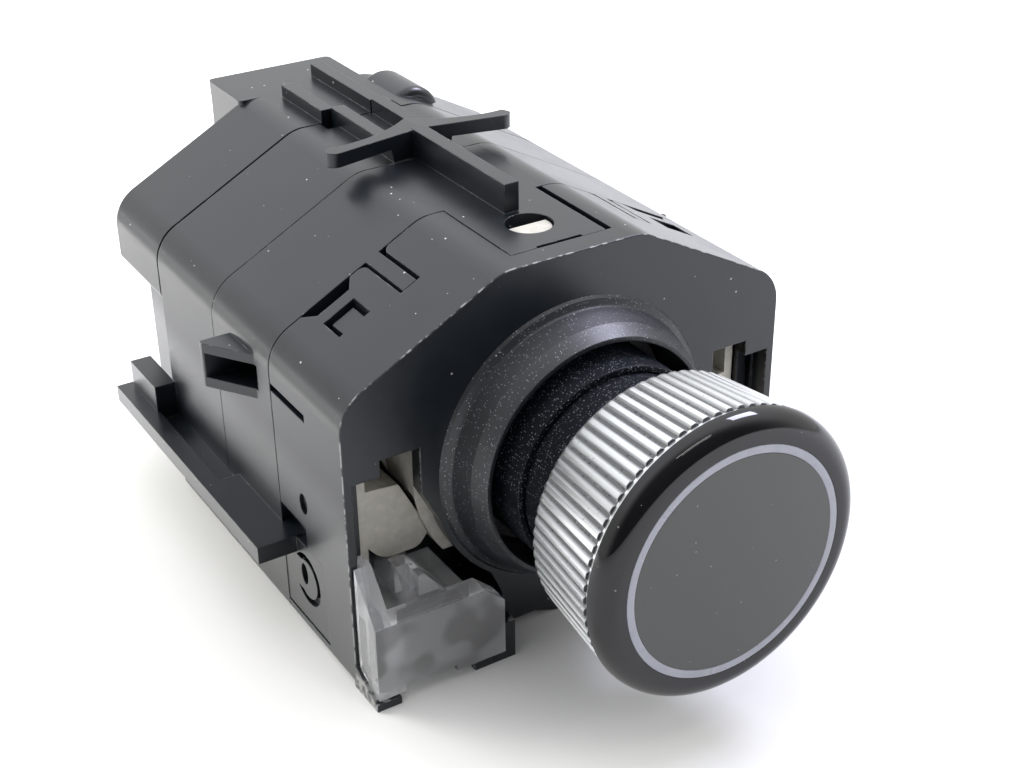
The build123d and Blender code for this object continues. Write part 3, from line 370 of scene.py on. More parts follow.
@dataclass
class EffectLibrary:
    """Builds each shared node group once and places it in materials."""

    smallest_speck: float = 0.35
    cloud_detail: float = 4.0
    streak_detail: float = 3.0
    cloud_roughness: float = 0.6
    streak_fineness: float = 9.0
    streak_share: float = 0.25
    cloud_span: Span = (0.35, 0.65)
    bevel_samples: int = 4
    edge_span: Span = (0.97, 0.80)

    def __post_init__(self) -> None:
        """Build the four groups."""
        self.groups = {
            Effect.SPECKS: self._specks(),
            Effect.SMUDGES: self._smudges(),
            Effect.EDGES: self._edges(),
            Effect.GRAIN: self._grain(),
        }

    @staticmethod
    def _group(effect: Effect, inputs: dict[str, tuple[str, object]], outputs: dict[str, str]) -> tuple:
        """New group with its sockets, as (group, wiring, input sockets, output sockets)."""
        group = bpy.data.node_groups.new(effect.value, "ShaderNodeTree")
        for name, (kind, default) in inputs.items():
            socket = group.interface.new_socket(name, in_out="INPUT", socket_type=kind)
            if default is not None:
                socket.default_value = default
        for name, kind in outputs.items():
            group.interface.new_socket(name, in_out="OUTPUT", socket_type=kind)
        wiring = Wiring(group)
        return group, wiring, wiring.add("NodeGroupInput").outputs, wiring.add("NodeGroupOutput").inputs

    def _specks(self) -> bpy.types.NodeTree:
        """Small round specks: cells of a Voronoi texture, of which a share holds a dot."""
        group, w, given, out = self._group(
            Effect.SPECKS,
            {
                "Place": ("NodeSocketVector", None),
                "Cells": ("NodeSocketFloat", 900.0),
                "Share": ("NodeSocketFloat", 0.1),
                "Radius": ("NodeSocketFloat", 0.12),
            },
            {"Mask": "NodeSocketFloat"},
        )
        cells = w.add("ShaderNodeTexVoronoi")
        w.feed(cells.inputs["Vector"], given["Place"])
        w.feed(cells.inputs["Scale"], given["Cells"])
        lot = w.split(cells.outputs["Color"])
        size = w.times(given["Radius"], w.plus(self.smallest_speck, lot[1]))
        dot = w.math("GREATER_THAN", size, cells.outputs["Distance"])
        chosen = w.math("LESS_THAN", lot[0], given["Share"])
        w.feed(out["Mask"], w.times(dot, chosen))
        return group

    def _smudges(self) -> bpy.types.NodeTree:
        """Soft cloudy patches with finer streaks in them."""
        group, w, given, out = self._group(
            Effect.SMUDGES,
            {"Place": ("NodeSocketVector", None), "Scale": ("NodeSocketFloat", 70.0)},
            {"Mask": "NodeSocketFloat"},
        )
        broad = w.noise(given["Place"], given["Scale"], self.cloud_detail, self.cloud_roughness)
        finer = w.times(given["Scale"], self.streak_fineness)
        fine = w.noise(given["Place"], finer, self.streak_detail, self.cloud_roughness)
        mixed = w.plus(w.times(broad, 1 - self.streak_share), w.times(fine, self.streak_share))
        w.feed(out["Mask"], w.ease(mixed, self.cloud_span))
        return group

    def _edges(self) -> bpy.types.NodeTree:
        """Rounded normal at sharp edges, and how far it leans from the true one."""
        group, w, given, out = self._group(
            Effect.EDGES,
            {"Radius": ("NodeSocketFloat", 0.0002)},
            {"Normal": "NodeSocketVector", "Mask": "NodeSocketFloat"},
        )
        bevel = w.add("ShaderNodeBevel", samples=self.bevel_samples)
        w.feed(bevel.inputs["Radius"], given["Radius"])
        true = w.add("ShaderNodeNewGeometry").outputs["Normal"]
        lean = w.vector("DOT_PRODUCT", bevel.outputs[0], true)["Value"]
        w.feed(out["Normal"], bevel.outputs[0])
        w.feed(out["Mask"], w.ease(lean, self.edge_span))
        return group

    def _grain(self) -> bpy.types.NodeTree:
        """Fine moulded grain: two noises, one twice as fine as the other."""
        group, w, given, out = self._group(
            Effect.GRAIN,
            {"Place": ("NodeSocketVector", None), "Scale": ("NodeSocketFloat", 5000.0)},
            {"Height": "NodeSocketFloat"},
        )
        coarse = w.noise(given["Place"], given["Scale"], 2.0)
        fine = w.noise(given["Place"], w.times(given["Scale"], 2.0), 1.0)
        w.feed(out["Height"], w.times(w.plus(coarse, fine), 0.5))
        return group

    def use(self, wiring: Wiring, effect: Effect, **values: object) -> Sockets:
        """Place a shared effect in a material.

        Args:
            wiring: The material's wiring.
            effect: Which group.
            **values: Input values, by socket name.

        Returns:
            The output sockets.
        """
        node = wiring.add("ShaderNodeGroup")
        node.node_tree = self.groups[effect]
        for name, value in values.items():
            wiring.feed(node.inputs[name], value)
        return node.outputs

    def specks(self, wiring: Wiring, place: Socket, kind: Specks) -> Socket:
        """Mask of one kind of specks."""
        values = {"Place": place, "Cells": kind.cells, "Share": kind.share, "Radius": kind.radius}
        return self.use(wiring, Effect.SPECKS, **values)["Mask"]

    def smudges(self, wiring: Wiring, place: Socket, scale: float = 70.0) -> Socket:
        """Mask of the smudges, its scale in patches for each metre."""
        return self.use(wiring, Effect.SMUDGES, Place=place, Scale=scale)["Mask"]

    def grain(self, wiring: Wiring, place: Socket, scale: float = 5000.0) -> Socket:
        """Height of the moulded grain, its scale in grains for each metre."""
        return self.use(wiring, Effect.GRAIN, Place=place, Scale=scale)["Height"]


@dataclass(frozen=True)
class Finish:
    """Common start of every finish: a material with its Principled shader."""

    name: str

    def start(self) -> tuple[Material, Wiring, Sockets]:
        """New material with only its shader and output, as (material, wiring, shader inputs)."""
        material = bpy.data.materials.new(self.name)
        material.use_nodes = True
        material.node_tree.nodes.clear()
        wiring = Wiring(material.node_tree)
        shader = wiring.add("ShaderNodeBsdfPrincipled")
        output = wiring.add("ShaderNodeOutputMaterial")
        wiring.feed(output.inputs["Surface"], shader.outputs["BSDF"])
        return material, wiring, shader.inputs


@dataclass(frozen=True)
class MouldedFinish(Finish):
    """Dark moulded plastic with grain, smudges, dust, softened edges, and edge wear that is partly painted
    highlight.
    """

    base: Colour = (0.0036, 0.0056, 0.0082)
    roughness: Span = (0.275, 0.305)
    specular: float = 0.50
    grain_cells: float = 5200.0
    grain_depth: float = 0.004
    # Pale colour of dust, handling film and edge marks; on the edges it is partly painted highlight.
    dust: Colour = (0.42, 0.42, 0.41)
    specks: Specks = Specks(1100.0, 0.09)
    motes: Specks = Specks(420.0, 0.018)
    dusty_facing: Span = (-0.2, 0.9)
    dusty_share: Span = (0.6, 1.0)
    film: float = 0.008
    edge_radius: float = 0.2
    burr_cells: float = 650.0
    burr_span: Span = (0.54, 0.62)
    edge_burr_and_highlight: Span = (0.03, 0.30)
    rim_depth: Span = (0.3, 0.1)
    rim_facing: Span = (-0.97, -0.75)
    chip_cells: float = 900.0
    chip_span: Span = (0.48, 0.60)
    rim_chips_and_highlight: float = 0.55
    noise_detail: float = 3.0
    wall_reach: Span = (24.0, 25.0)
    wall_facing: Span = (0.90, 0.98)
    draft: float = 0.20
    rubbed: float = 0.85
    rubbed_height: Span = (3.0, -6.0)

    def build(self, effects: EffectLibrary) -> Material:
        """Material of the housing.

        The side walls shade as if drafted: their normals lean upwards by a small share. Their lower
        parts, which rub in the dashboard, carry a satin coat.
        """
        material, w, shader = self.start()
        place = w.place()
        spot = w.split(place)
        facing = w.split(w.add("ShaderNodeNewGeometry").outputs["Normal"])
        edges = effects.use(w, Effect.EDGES, Radius=self.edge_radius * MM)
        smudges = effects.smudges(w, place)
        # The edge burrs and rim chips are partly wear and partly painted highlight, in the pale dust colour.
        film_wear_and_highlight = w.plus(w.times(smudges, self.film), self.wear_and_edge_highlight(w, place, facing, edges["Mask"]))
        share = w.most(self.fallen_dust(w, effects, place, facing), film_wear_and_highlight, clamp=True)
        w.feed(shader["Base Color"], w.blend(share, self.base, self.dust))
        w.feed(shader["Roughness"], w.ease(smudges, WHOLE, self.roughness))
        shader["Specular IOR Level"].default_value = self.specular
        outer = w.ease(w.math("ABSOLUTE", spot[0]), in_metres(self.wall_reach))
        wall = w.times(outer, w.ease(w.math("ABSOLUTE", facing[0]), self.wall_facing))
        low = w.ease(spot[2], in_metres(self.rubbed_height), (0.0, self.rubbed))
        w.feed(shader["Coat Weight"], w.times(wall, low))
        shader["Coat Roughness"].default_value = self.roughness[0]
        lean = w.add("ShaderNodeCombineXYZ")
        w.feed(lean.inputs["Z"], w.times(wall, self.draft))
        leaning = w.vector("ADD", edges["Normal"], lean.outputs[0])[0]
        level = w.vector("NORMALIZE", leaning)[0]
        grain = effects.grain(w, place, self.grain_cells)
        w.feed(shader["Normal"], w.bump(grain, self.grain_depth, level))
        return material

    def fallen_dust(self, w: Wiring, effects: EffectLibrary, place: Socket, facing: Sockets) -> Socket:
        """Mask of the dust, denser on faces that look up."""
        dust = w.most(effects.specks(w, place, self.specks), effects.specks(w, place, self.motes))
        return w.times(dust, w.ease(facing[2], self.dusty_facing, self.dusty_share))

    def wear_and_edge_highlight(self, w: Wiring, place: Socket, facing: Sockets, edge: Socket) -> Socket:
        """Pale marks, partly wear and partly painted highlight: uneven burrs on every edge, and chips along
        the face plate's rim.
        """
        burr_noise = w.noise(place, self.burr_cells, self.noise_detail)
        burr_and_highlight = w.ease(burr_noise, self.burr_span, self.edge_burr_and_highlight)
        near_front = w.ease(w.split(place)[1], in_metres(self.rim_depth))
        rim = w.times(near_front, w.ease(facing[1], self.rim_facing))
        chip_noise = w.noise(place, self.chip_cells, self.noise_detail)
        chips_and_highlight = w.times(rim, w.ease(chip_noise, self.chip_span, (0.0, self.rim_chips_and_highlight)))
        return w.plus(w.times(edge, burr_and_highlight), chips_and_highlight)


@dataclass(frozen=True)
class SparklingFinish(Finish):
    """Deep black texture with fine bright points painted into its colour as glints, as on the collar and the
    sleeves.
    """

    base: Colour = (0.004, 0.0055, 0.0080)
    # Colour of the painted glints.
    glint: Colour = (0.42, 0.44, 0.48)
    roughness: float = 0.34
    roughness_swing: float = 0.05
    specular: float = 0.5
    glint_cells: float = 5200.0
    glint_share: float = 0.28
    glint_radius: float = 0.27
    glint_strength: float = 0.5
    dust: Specks = Specks(1300.0, 0.03)
    dust_strength: float = 0.8
    grain_cells: float = 7000.0
    grain_depth: float = 0.012

    def build(self, effects: EffectLibrary) -> Material:
        """Material with fine painted glints and a few dust specks."""
        material, w, shader = self.start()
        place = w.place()
        # The glints are painted highlights: pale specks in the base colour.
        kind = Specks(self.glint_cells, self.glint_share, self.glint_radius)
        painted_glints = w.times(effects.specks(w, place, kind), self.glint_strength)
        dust = w.times(effects.specks(w, place, self.dust), self.dust_strength)
        w.feed(shader["Base Color"], w.blend(w.most(painted_glints, dust), self.base, self.glint))
        smudges = effects.smudges(w, place)
        w.feed(shader["Roughness"], w.about(smudges, self.roughness, self.roughness_swing))
        shader["Specular IOR Level"].default_value = self.specular
        w.feed(shader["Normal"], w.bump(effects.grain(w, place, self.grain_cells), self.grain_depth))
        return material


@dataclass(frozen=True)
class GlossCapFinish(Finish):
    """Gloss black cap whose flat middle is satin."""

    base: Colour = (0.002, 0.002, 0.003)
    face: Colour = (0.042, 0.045, 0.042)
    satin_radius: float = 14.0
    satin_roughness: float = 0.30
    satin_swing: float = 0.006
    gloss_roughness: Span = (0.035, 0.065)
    smudge_cells: float = 45.0
    specular: float = 0.42
    dust: Colour = (0.3, 0.3, 0.3)
    dust_strength: float = 0.5
    specks: Specks = Specks(900.0, 0.16, 0.10)
    motes: Specks = Specks(260.0, 0.05, 0.06)

    def build(self, effects: EffectLibrary) -> Material:
        """Material that is satin on the face inside the pale ring."""
        material, w, shader = self.start()
        place = w.place()
        x, _, z = w.split(place)[:3]
        inside = w.math("LESS_THAN", w.reach(x, z), self.satin_radius * MM)
        dust = w.most(effects.specks(w, place, self.specks), effects.specks(w, place, self.motes))
        ground = w.blend(inside, self.base, self.face)
        w.feed(shader["Base Color"], w.blend(w.times(dust, self.dust_strength), ground, self.dust))
        smudges = effects.smudges(w, place, self.smudge_cells)
        satin = w.about(smudges, self.satin_roughness, self.satin_swing)
        gloss = w.ease(smudges, WHOLE, self.gloss_roughness)
        w.feed(shader["Roughness"], w.choose(inside, gloss, satin))
        shader["Specular IOR Level"].default_value = self.specular
        return material


@dataclass(frozen=True)
class PlatedFinish(Finish):
    """Satin plating: bright rib tops, valleys dulled by grime and painted shade, and painted shade at the
    flanks' feet and rib ends.
    """

    metal: Colour = (0.68, 0.70, 0.705)
    # Dark colour of grime, pits and painted shade.
    dirt_and_shade: Colour = (0.016, 0.017, 0.019)
    dust: Colour = (0.25, 0.25, 0.26)
    roughness: float = 0.32
    roughness_gain: float = 0.4
    metal_loss: float = 0.8
    grime_and_shade: float = 0.83
    grime_speckle: float = 0.15
    foot_shade: float = 0.92
    pit_strength: float = 0.55
    grime_specks: Specks = Specks(3000.0, 0.5, 0.3)
    dust_specks: Specks = Specks(2200.0, 0.25, 0.22)
    pits: Specks = Specks(2000.0, 0.22, 0.16)
    grain_cells: float = 3500.0
    grain_depth: float = 0.006

    def build(self, effects: EffectLibrary) -> Material:
        """Material that reads the ring's own attributes, valley and foot."""
        material, w, shader = self.start()
        place = w.place()
        valley = w.add("ShaderNodeAttribute", attribute_name="valley").outputs["Fac"]
        foot = w.add("ShaderNodeAttribute", attribute_name="foot").outputs["Fac"]
        speckle = w.times(effects.specks(w, place, self.grime_specks), self.grime_speckle)
        # Valleys darken by grime and by painted shade; the foot, where a flank meets a valley and on the rib
        # ends, darkens by painted shade.
        grime_and_shade = w.times(valley, w.plus(speckle, self.grime_and_shade))
        pits = w.times(effects.specks(w, place, self.pits), self.pit_strength)
        share = w.most(w.most(grime_and_shade, w.times(foot, self.foot_shade)), pits)
        dull = w.blend(share, self.metal, self.dirt_and_shade)
        dust = w.times(effects.specks(w, place, self.dust_specks), valley)
        w.feed(shader["Base Color"], w.blend(dust, dull, self.dust))
        w.feed(shader["Metallic"], w.math("SUBTRACT", 1.0, w.times(share, self.metal_loss)))
        w.feed(shader["Roughness"], w.plus(self.roughness, w.times(share, self.roughness_gain)))
        w.feed(shader["Normal"], w.bump(effects.grain(w, place, self.grain_cells), self.grain_depth))
        return material


@dataclass(frozen=True)
class AcrylicFinish(Finish):
    """Clear acrylic, satin and cloudy on the lens front and polished elsewhere."""

    tint: Colour = (0.96, 0.97, 0.98)
    shade: Colour = (0.50, 0.50, 0.50)
    front_y: float = -4.9
    front_t: float = 0.05
    satin: float = 0.46
    satin_swing: float = 0.046
    polish: float = 0.02
    smudge_cells: float = 60.0
    cloud_cells: float = 190.0
    cloud_detail: float = 1.0
    cloud_span: Span = (0.42, 0.60)
    clearness: float = 0.84
    refraction: float = 1.49

    def build(self, effects: EffectLibrary) -> Material:
        """Clear material whose lens front is rougher and in part darker."""
        material, w, shader = self.start()
        place = w.place()
        front = w.ease(w.split(place)[1], in_metres((self.front_y + self.front_t, self.front_y)))
        satin = w.about(effects.smudges(w, place, self.smudge_cells), self.satin, self.satin_swing)
        w.feed(shader["Roughness"], w.plus(w.times(front, satin), self.polish))
        patches = w.ease(w.noise(place, self.cloud_cells, self.cloud_detail), self.cloud_span)
        w.feed(shader["Base Color"], w.blend(w.times(front, patches), self.tint, self.shade))
        shader["Transmission Weight"].default_value = self.clearness
        shader["IOR"].default_value = self.refraction
        return material


@dataclass(frozen=True)
class PlainFinish(Finish):
    """Finish of the smaller pieces: one colour with mottling, grain and smudged gloss."""

    colour: Colour = (0.3, 0.3, 0.3)
    shade: Colour = (0.24, 0.24, 0.24)
    roughness: float = 0.4
    metallic: float = 0.0
    grain_depth: float = 0.01
    roughness_swing: float = 0.06
    mottle_cells: float = 900.0
    mottle_detail: float = 3.0
    mottle_span: Span = (0.35, 0.65)
    edge_radius: float = 0.12

    def build(self, effects: EffectLibrary) -> Material:
        """Material mottled between its two colours."""
        material, w, shader = self.start()
        place = w.place()
        mottle = w.ease(w.noise(place, self.mottle_cells, self.mottle_detail), self.mottle_span)
        w.feed(shader["Base Color"], w.blend(mottle, self.colour, self.shade))
        smudges = effects.smudges(w, place)
        w.feed(shader["Roughness"], w.about(smudges, self.roughness, self.roughness_swing))
        shader["Metallic"].default_value = self.metallic
        edges = effects.use(w, Effect.EDGES, Radius=self.edge_radius * MM)
        w.feed(shader["Normal"], w.bump(effects.grain(w, place), self.grain_depth, edges["Normal"]))
        return material


@dataclass(frozen=True)
class FloorFinish(Finish):
    """Matt white paper with a painted shadow, greyer round the object's foot. Lengths are in metres."""

    colour: Colour = (0.80, 0.80, 0.785)
    paler: float = 1.02
    # Colour of the painted shadow round the object's foot.
    foot: Colour = (0.66, 0.66, 0.645)
    shadow_centre_y: float = 0.02
    shadow_narrowing: float = 0.6
    shadow_reach: Span = (0.030, 0.095)
    mottle_cells: float = 25.0
    roughness: float = 0.8
    specular: float = 0.2

    def build(self, effects: EffectLibrary) -> Material:
        """Matt material with a trace of mottling and a painted shadow round the object's foot."""
        material, w, shader = self.start()
        place = w.place()
        x, y = w.split(place)[:2]
        along = w.times(w.math("SUBTRACT", y, self.shadow_centre_y), self.shadow_narrowing)
        mottle = effects.smudges(w, place, self.mottle_cells)
        paper = w.blend(mottle, self.colour, tuple(channel * self.paler for channel in self.colour))
        # Painted shadow: the paper turns to the greyer foot colour near the object.
        away = w.ease(w.reach(x, along), self.shadow_reach)
        w.feed(shader["Base Color"], w.blend(away, self.foot, paper))
        shader["Roughness"].default_value = self.roughness
        shader["Specular IOR Level"].default_value = self.specular
        return material


PALE_RING = PlainFinish("pale_ring", (0.235, 0.245, 0.28), (0.215, 0.225, 0.255), 0.32, grain_depth=0.004)
REFLECTOR_WHITE = PlainFinish("reflector_white", (0.46, 0.445, 0.39), (0.40, 0.385, 0.335), 0.45)
INNER_PLASTIC = PlainFinish("inner_plastic", (0.12, 0.12, 0.13), (0.09, 0.09, 0.10), 0.42)
SPRING_STEEL = PlainFinish("spring_steel", (0.55, 0.55, 0.56), (0.42, 0.42, 0.43), 0.28, metallic=1.0)
SINTERED_MAGNET = PlainFinish("sintered_magnet", (0.16, 0.16, 0.17), (0.10, 0.10, 0.11), 0.5, metallic=0.6)
TINNED_METAL = PlainFinish("tinned_metal", (0.75, 0.74, 0.70), (0.62, 0.61, 0.58), 0.26, metallic=1.0)
BOARD_LACQUER = PlainFinish("board_lacquer", (0.02, 0.14, 0.06), (0.015, 0.10, 0.045), 0.3)
LAMP_WHITE = PlainFinish("lamp_white", (0.7, 0.7, 0.62), (0.62, 0.62, 0.5), 0.35)
CONNECTOR_BLACK = PlainFinish("connector_black", (0.02, 0.02, 0.021), (0.014, 0.014, 0.015), 0.4)
COLLAR_TEXTURE = SparklingFinish("collar_texture", roughness=0.46, specular=0.65)
STEM_TEXTURE = SparklingFinish("stem_texture", roughness=0.48, specular=0.12, glint_share=0.5)
SLEEVE_TEXTURE = SparklingFinish("sleeve_texture", roughness=0.48, specular=0.12, glint_share=0.45)


class Dresser:
    """Puts finishes on nodes and places new pieces on their bodies."""

    def __init__(self, frame: dict) -> None:
        """Keep the frame's nodes, and the body and slot of each."""
        record = frame["record"]
        self.nodes = frame["nodes"]
        self.body_of = {node: body for body, nodes in record["behaviour"]["bodies"].items() for node in nodes}
        self.slot_of = {part["node"]: part["material_slot"] for part in record["subparts"]}

    def dress(self, node: str, material: Material) -> None:
        """Give a kept node its finish."""
        for slot in self.nodes[node].material_slots:
            slot.material = material
        LOG.info("dressed %s in %s", node, material.name)

    def stand_in(self, piece: Piece, node: str, material: Material) -> None:
        """Let a finer piece take a node's place and body."""
        piece.data.materials.append(material)
        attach(piece, self.body_of[node])
        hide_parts(node)
        LOG.info("made %s with %d faces", piece.name, len(piece.data.polygons))


@dataclass
class Knob:
    """Grip ring, cap, pale ring and stem of the knob."""

    cap_r: float = 17.35
    cap_edge_r: float = 2.4
    cap_rim_round: float = 0.02
    face_y: float = -30.5
    cap_rear_y: float = -28.1
    plug_gap: float = 0.1
    plug_t: float = 1.2
    plug_round: float = 0.1
    inlay_inner_r: float = 13.05
    inlay_outer_r: float = 14.0
    inlay_t: float = 0.5
    inlay_gap: float = 0.03
    inlay_round: float = 0.04
    bore_r: float = 13.9
    skirt_bore_r: float = 14.6
    skirt_round: float = 0.1
    flange_y: float = -24.0
    lip_gap: float = 0.01
    lip_t: float = 0.55
    lip_stand: float = 0.1
    lip_round: float = 0.12
    lip_foot: Span = (0.02, 0.06)
    rear_y: float = -15.35
    rear_foot: Span = (0.02, 0.05)
    rear_step: float = 0.1
    rib_front_y: float = -27.2
    rib_front_r: float = 17.2
    rib_rear_r: float = 15.85
    rib_height: float = 0.38
    rib_count: int = 70
    rib_share: float = 0.60
    rib_crown: float = 0.10
    flank_share: float = 0.10
    rib_end: float = 0.55
    rib_margin: float = 0.12
    front_places: tuple[float, ...] = (0.0, 0.02, 0.05)
    front_rise: float = 0.86
    straight_start: float = 0.1
    straight_points: int = 30
    tail_points: int = 9
    points_per_rib: int = 16
    crowding: float = 0.055
    foot_place: float = 0.85
    foot_width: float = 0.25
    rib_edge: float = 0.12

    def cap(self) -> Piece:
        """Cap with a rounded edge, a fine channel for the pale ring and its plug."""
        channel_y = self.face_y + self.inlay_t
        inner = self.inlay_inner_r - self.inlay_gap
        outer = self.inlay_outer_r + self.inlay_gap
        plug_r = self.bore_r - self.plug_gap
        plug_y = self.flange_y - self.plug_gap
        return turned_disc(
            "gloss_cap",
            [
                (0, self.face_y, 0),
                (inner, self.face_y, self.inlay_round),
                (inner, channel_y, 0),
                (outer, channel_y, 0),
                (outer, self.face_y, self.inlay_round),
                (self.cap_r, self.face_y, self.cap_edge_r),
                (self.cap_r, self.cap_rear_y, self.cap_rim_round),
                (plug_r, self.cap_rear_y, 0),
                (plug_r, plug_y, self.plug_round),
                (plug_r - self.plug_t, plug_y, self.plug_round),
                (plug_r - self.plug_t, self.cap_rear_y, 0),
                (0, self.cap_rear_y, 0),
            ],
        )

    def inlay(self) -> Piece:
        """Pale ring, flush with the cap's face."""
        rear = self.face_y + self.inlay_t
        return turned_ring(
            "pale_ring",
            [
                (self.inlay_inner_r, rear, 0),
                (self.inlay_inner_r, self.face_y, self.inlay_round),
                (self.inlay_outer_r, self.face_y, self.inlay_round),
                (self.inlay_outer_r, rear, 0),
            ],
        )

    def grip_profile(self) -> tuple[np.ndarray, np.ndarray]:
        """Profile of the grip ring's valleys, and how high the ribs stand at each point.

        The outer face runs from the lip to the rear as a straight cone, with its points closer
        together at the ribs' two ends. The ribs rise at once in front, and fall as a quarter circle
        behind.

        Returns:
            Points as (radius, y), and the rib height in millimetres at each.
        """
        lip_r = self.rib_front_r - self.rib_height
        lip_outer_r = lip_r + self.lip_stand
        lip_front_y = self.cap_rear_y + self.lip_gap
        lip_rear_y = self.cap_rear_y + self.lip_t
        rear_r = self.rib_rear_r - self.rib_height
        end_y = self.rear_y - self.rib_margin
        tail_y = end_y - self.rib_end
        tail = 1 - np.cos(np.linspace(0, math.pi / 2, self.tail_points))
        places = np.concatenate(
            (
                self.rib_front_y + np.array(self.front_places),
                np.linspace(self.rib_front_y + self.straight_start, tail_y, self.straight_points),
                end_y - self.rib_end * tail[::-1][1:],
            )
        )
        slope = (lip_r - rear_r) / (self.rear_y - lip_rear_y)
        outer = np.column_stack((lip_r - (places - lip_rear_y) * slope, places))
        left = np.clip((end_y - places) / self.rib_end, 0, 1)
        height = self.rib_height * np.sqrt(1 - (1 - left) ** 2)
        height[0] = 0.0
        height[1] = self.rib_height * self.front_rise
        lip = filleted(
            [
                (self.bore_r, lip_front_y, 0),
                (lip_outer_r, lip_front_y, self.lip_round),
                (lip_outer_r, lip_rear_y, self.lip_round),
                (lip_r - self.lip_foot[0], lip_rear_y + self.lip_foot[1], 0),
            ],
            closed=False,
        )
        rest = filleted(
            [
                (rear_r - self.rear_foot[0], self.rear_y - self.rear_foot[1], 0),
                (rear_r - self.rear_step, self.rear_y, 0),
                (self.skirt_bore_r, self.rear_y, self.skirt_round),
                (self.skirt_bore_r, self.flange_y, 0),
                (self.bore_r, self.flange_y, 0),
            ],
            closed=False,
        )
        profile = np.concatenate((lip, outer, rest))
        heights = np.concatenate((np.zeros(len(lip)), height, np.zeros(len(rest))))
        return profile, heights

    def grip(self) -> Piece:
        """Grip ring with raised ribs.

        Across one pitch, t from -1/2 to 1/2, a rib is full height up to half its share, less half a
        flank, and falls over the flank as a cosine. Its crown sinks with the square of t. The points
        lie at t = s - crowding sin(4 pi s) for even steps s, which brings them closer together on the
        crown and in the valley.
        """
        profile, heights = self.grip_profile()
        even = (np.arange(self.points_per_rib) + 0.5) / self.points_per_rib - 0.5
        across = even - self.crowding * np.sin(2 * TURN * even)
        fall = np.clip((np.abs(across) - self.rib_share / 2) / self.flank_share + 0.5, 0, 1)
        crown = 1 - self.rib_crown * (across / (self.rib_share / 2)) ** 2 * (fall < 1)
        rib = (0.5 + 0.5 * np.cos(math.pi * fall)) * crown
        pitches = np.arange(self.rib_count)[:, None] + across[None, :]
        turns = (pitches * TURN / self.rib_count).reshape(1, -1)
        shape = np.tile(rib, self.rib_count)[None, :]
        points = turned_points(profile[:, :1] + heights[:, None] * shape, profile[:, 1:], turns)
        faces = grid_faces(len(profile), turns.size, wrap_rows=True)
        piece = build_mesh("grip_ring", points.reshape(-1, 3), faces)
        self.mark_grime_and_shade(piece, heights, shape, np.tile(fall, self.rib_count)[None, :])
        return piece

    def mark_grime_and_shade(self, piece: Piece, heights: np.ndarray, shape: np.ndarray, fall: np.ndarray) -> None:
        """Write the attributes that the plating reads.

        The attribute valley is 0 on a rib's crown and 1 between the ribs. The attribute foot is 1
        where a flank meets the valley, and on the ribs' flat front ends. The plating darkens by valley
        with grime and painted shade, and by foot with painted shade.

        Args:
            piece: The grip ring.
            heights: How high the ribs stand in each row.
            shape: Share of that height at each place round the ring.
            fall: How far down its flank each of these places is.
        """
        on_grip = (heights > 0)[:, None]
        valley = on_grip * (1 - shape)
        foot = on_grip * np.clip(1 - np.abs(fall - self.foot_place) / self.foot_width, 0, 1)
        first = int(np.argmax(heights > 0)) - 1
        foot[first:first + 2] = shape > self.rib_edge
        for name, values in (("valley", valley), ("foot", foot)):
            layer = piece.data.attributes.new(name, "FLOAT", "POINT")
            layer.data.foreach_set("value", np.ascontiguousarray(values, dtype=np.float32).ravel())

    def build(self, dresser: Dresser, effects: EffectLibrary) -> None:
        """Make the three turned pieces of the knob and dress its stem."""
        dresser.stand_in(self.grip(), "knob_ring", PlatedFinish("satin_plating").build(effects))
        dresser.stand_in(self.cap(), "knob_cap", GlossCapFinish("gloss_cap").build(effects))
        dresser.stand_in(self.inlay(), "cap_inlay_ring", PALE_RING.build(effects))
        dresser.dress("knob_carrier", STEM_TEXTURE.build(effects))


@dataclass
class Collar:
    """Coned ring and the guide sleeve in it. The face plate's front is at y = 0."""

    base_r: float = 18.4
    base_step: Span = (0.3, 0.35)
    foot_r: float = 17.25
    foot_y: float = -0.75
    kink_r: float = 16.45
    kink_y: float = -3.7
    lip_r: float = 15.5
    lip_y: float = -5.75
    well_r: float = 14.9
    well_y: float = 2.6
    spigot_r: float = 16.9
    rear_y: float = 4.6
    seat_gap: float = 0.15
    sleeve_r: float = 13.15
    sleeve_bore_r: float = 12.3
    sleeve_front_y: float = -8.5
    flange_r: float = 17.5
    flange_front_y: float = 9.0
    flange_rear_y: float = 11.0

    def ring(self) -> Piece:
        """Collar ring: foot, steep band, coned band, narrow lip and well."""
        seat_r = self.sleeve_r + self.seat_gap
        return turned_ring(
            "collar",
            [
                (self.spigot_r, self.rear_y, 0.2),
                (self.spigot_r, 0.0, 0),
                (self.base_r, 0.0, 0),
                (self.base_r - self.base_step[0], -self.base_step[1], 0.2),
                (self.foot_r, self.foot_y, 0.6),
                (self.kink_r, self.kink_y, 0.35),
                (self.lip_r, self.lip_y, 0.18),
                (self.well_r, self.lip_y, 0.15),
                (self.well_r, self.well_y, 0.2),
                (seat_r, self.well_y, 0),
                (seat_r, self.rear_y, 0),
            ],
        )

    def sleeve(self) -> Piece:
        """Guide sleeve with its rounded front edge and rear flange."""
        return turned_ring(
            "guide_sleeve",
            [
                (self.sleeve_bore_r, self.sleeve_front_y, 0.25),
                (self.sleeve_r, self.sleeve_front_y, 0.25),
                (self.sleeve_r, self.flange_front_y, 0.2),
                (self.flange_r, self.flange_front_y, 0.2),
                (self.flange_r, self.flange_rear_y, 0.2),
                (self.sleeve_bore_r, self.flange_rear_y, 0.1),
            ],
        )

    def build(self, dresser: Dresser, effects: EffectLibrary) -> None:
        """Make the collar and its sleeve."""
        dresser.stand_in(self.ring(), "collar_ring", COLLAR_TEXTURE.build(effects))
        dresser.stand_in(self.sleeve(), "guide_bush", SLEEVE_TEXTURE.build(effects))


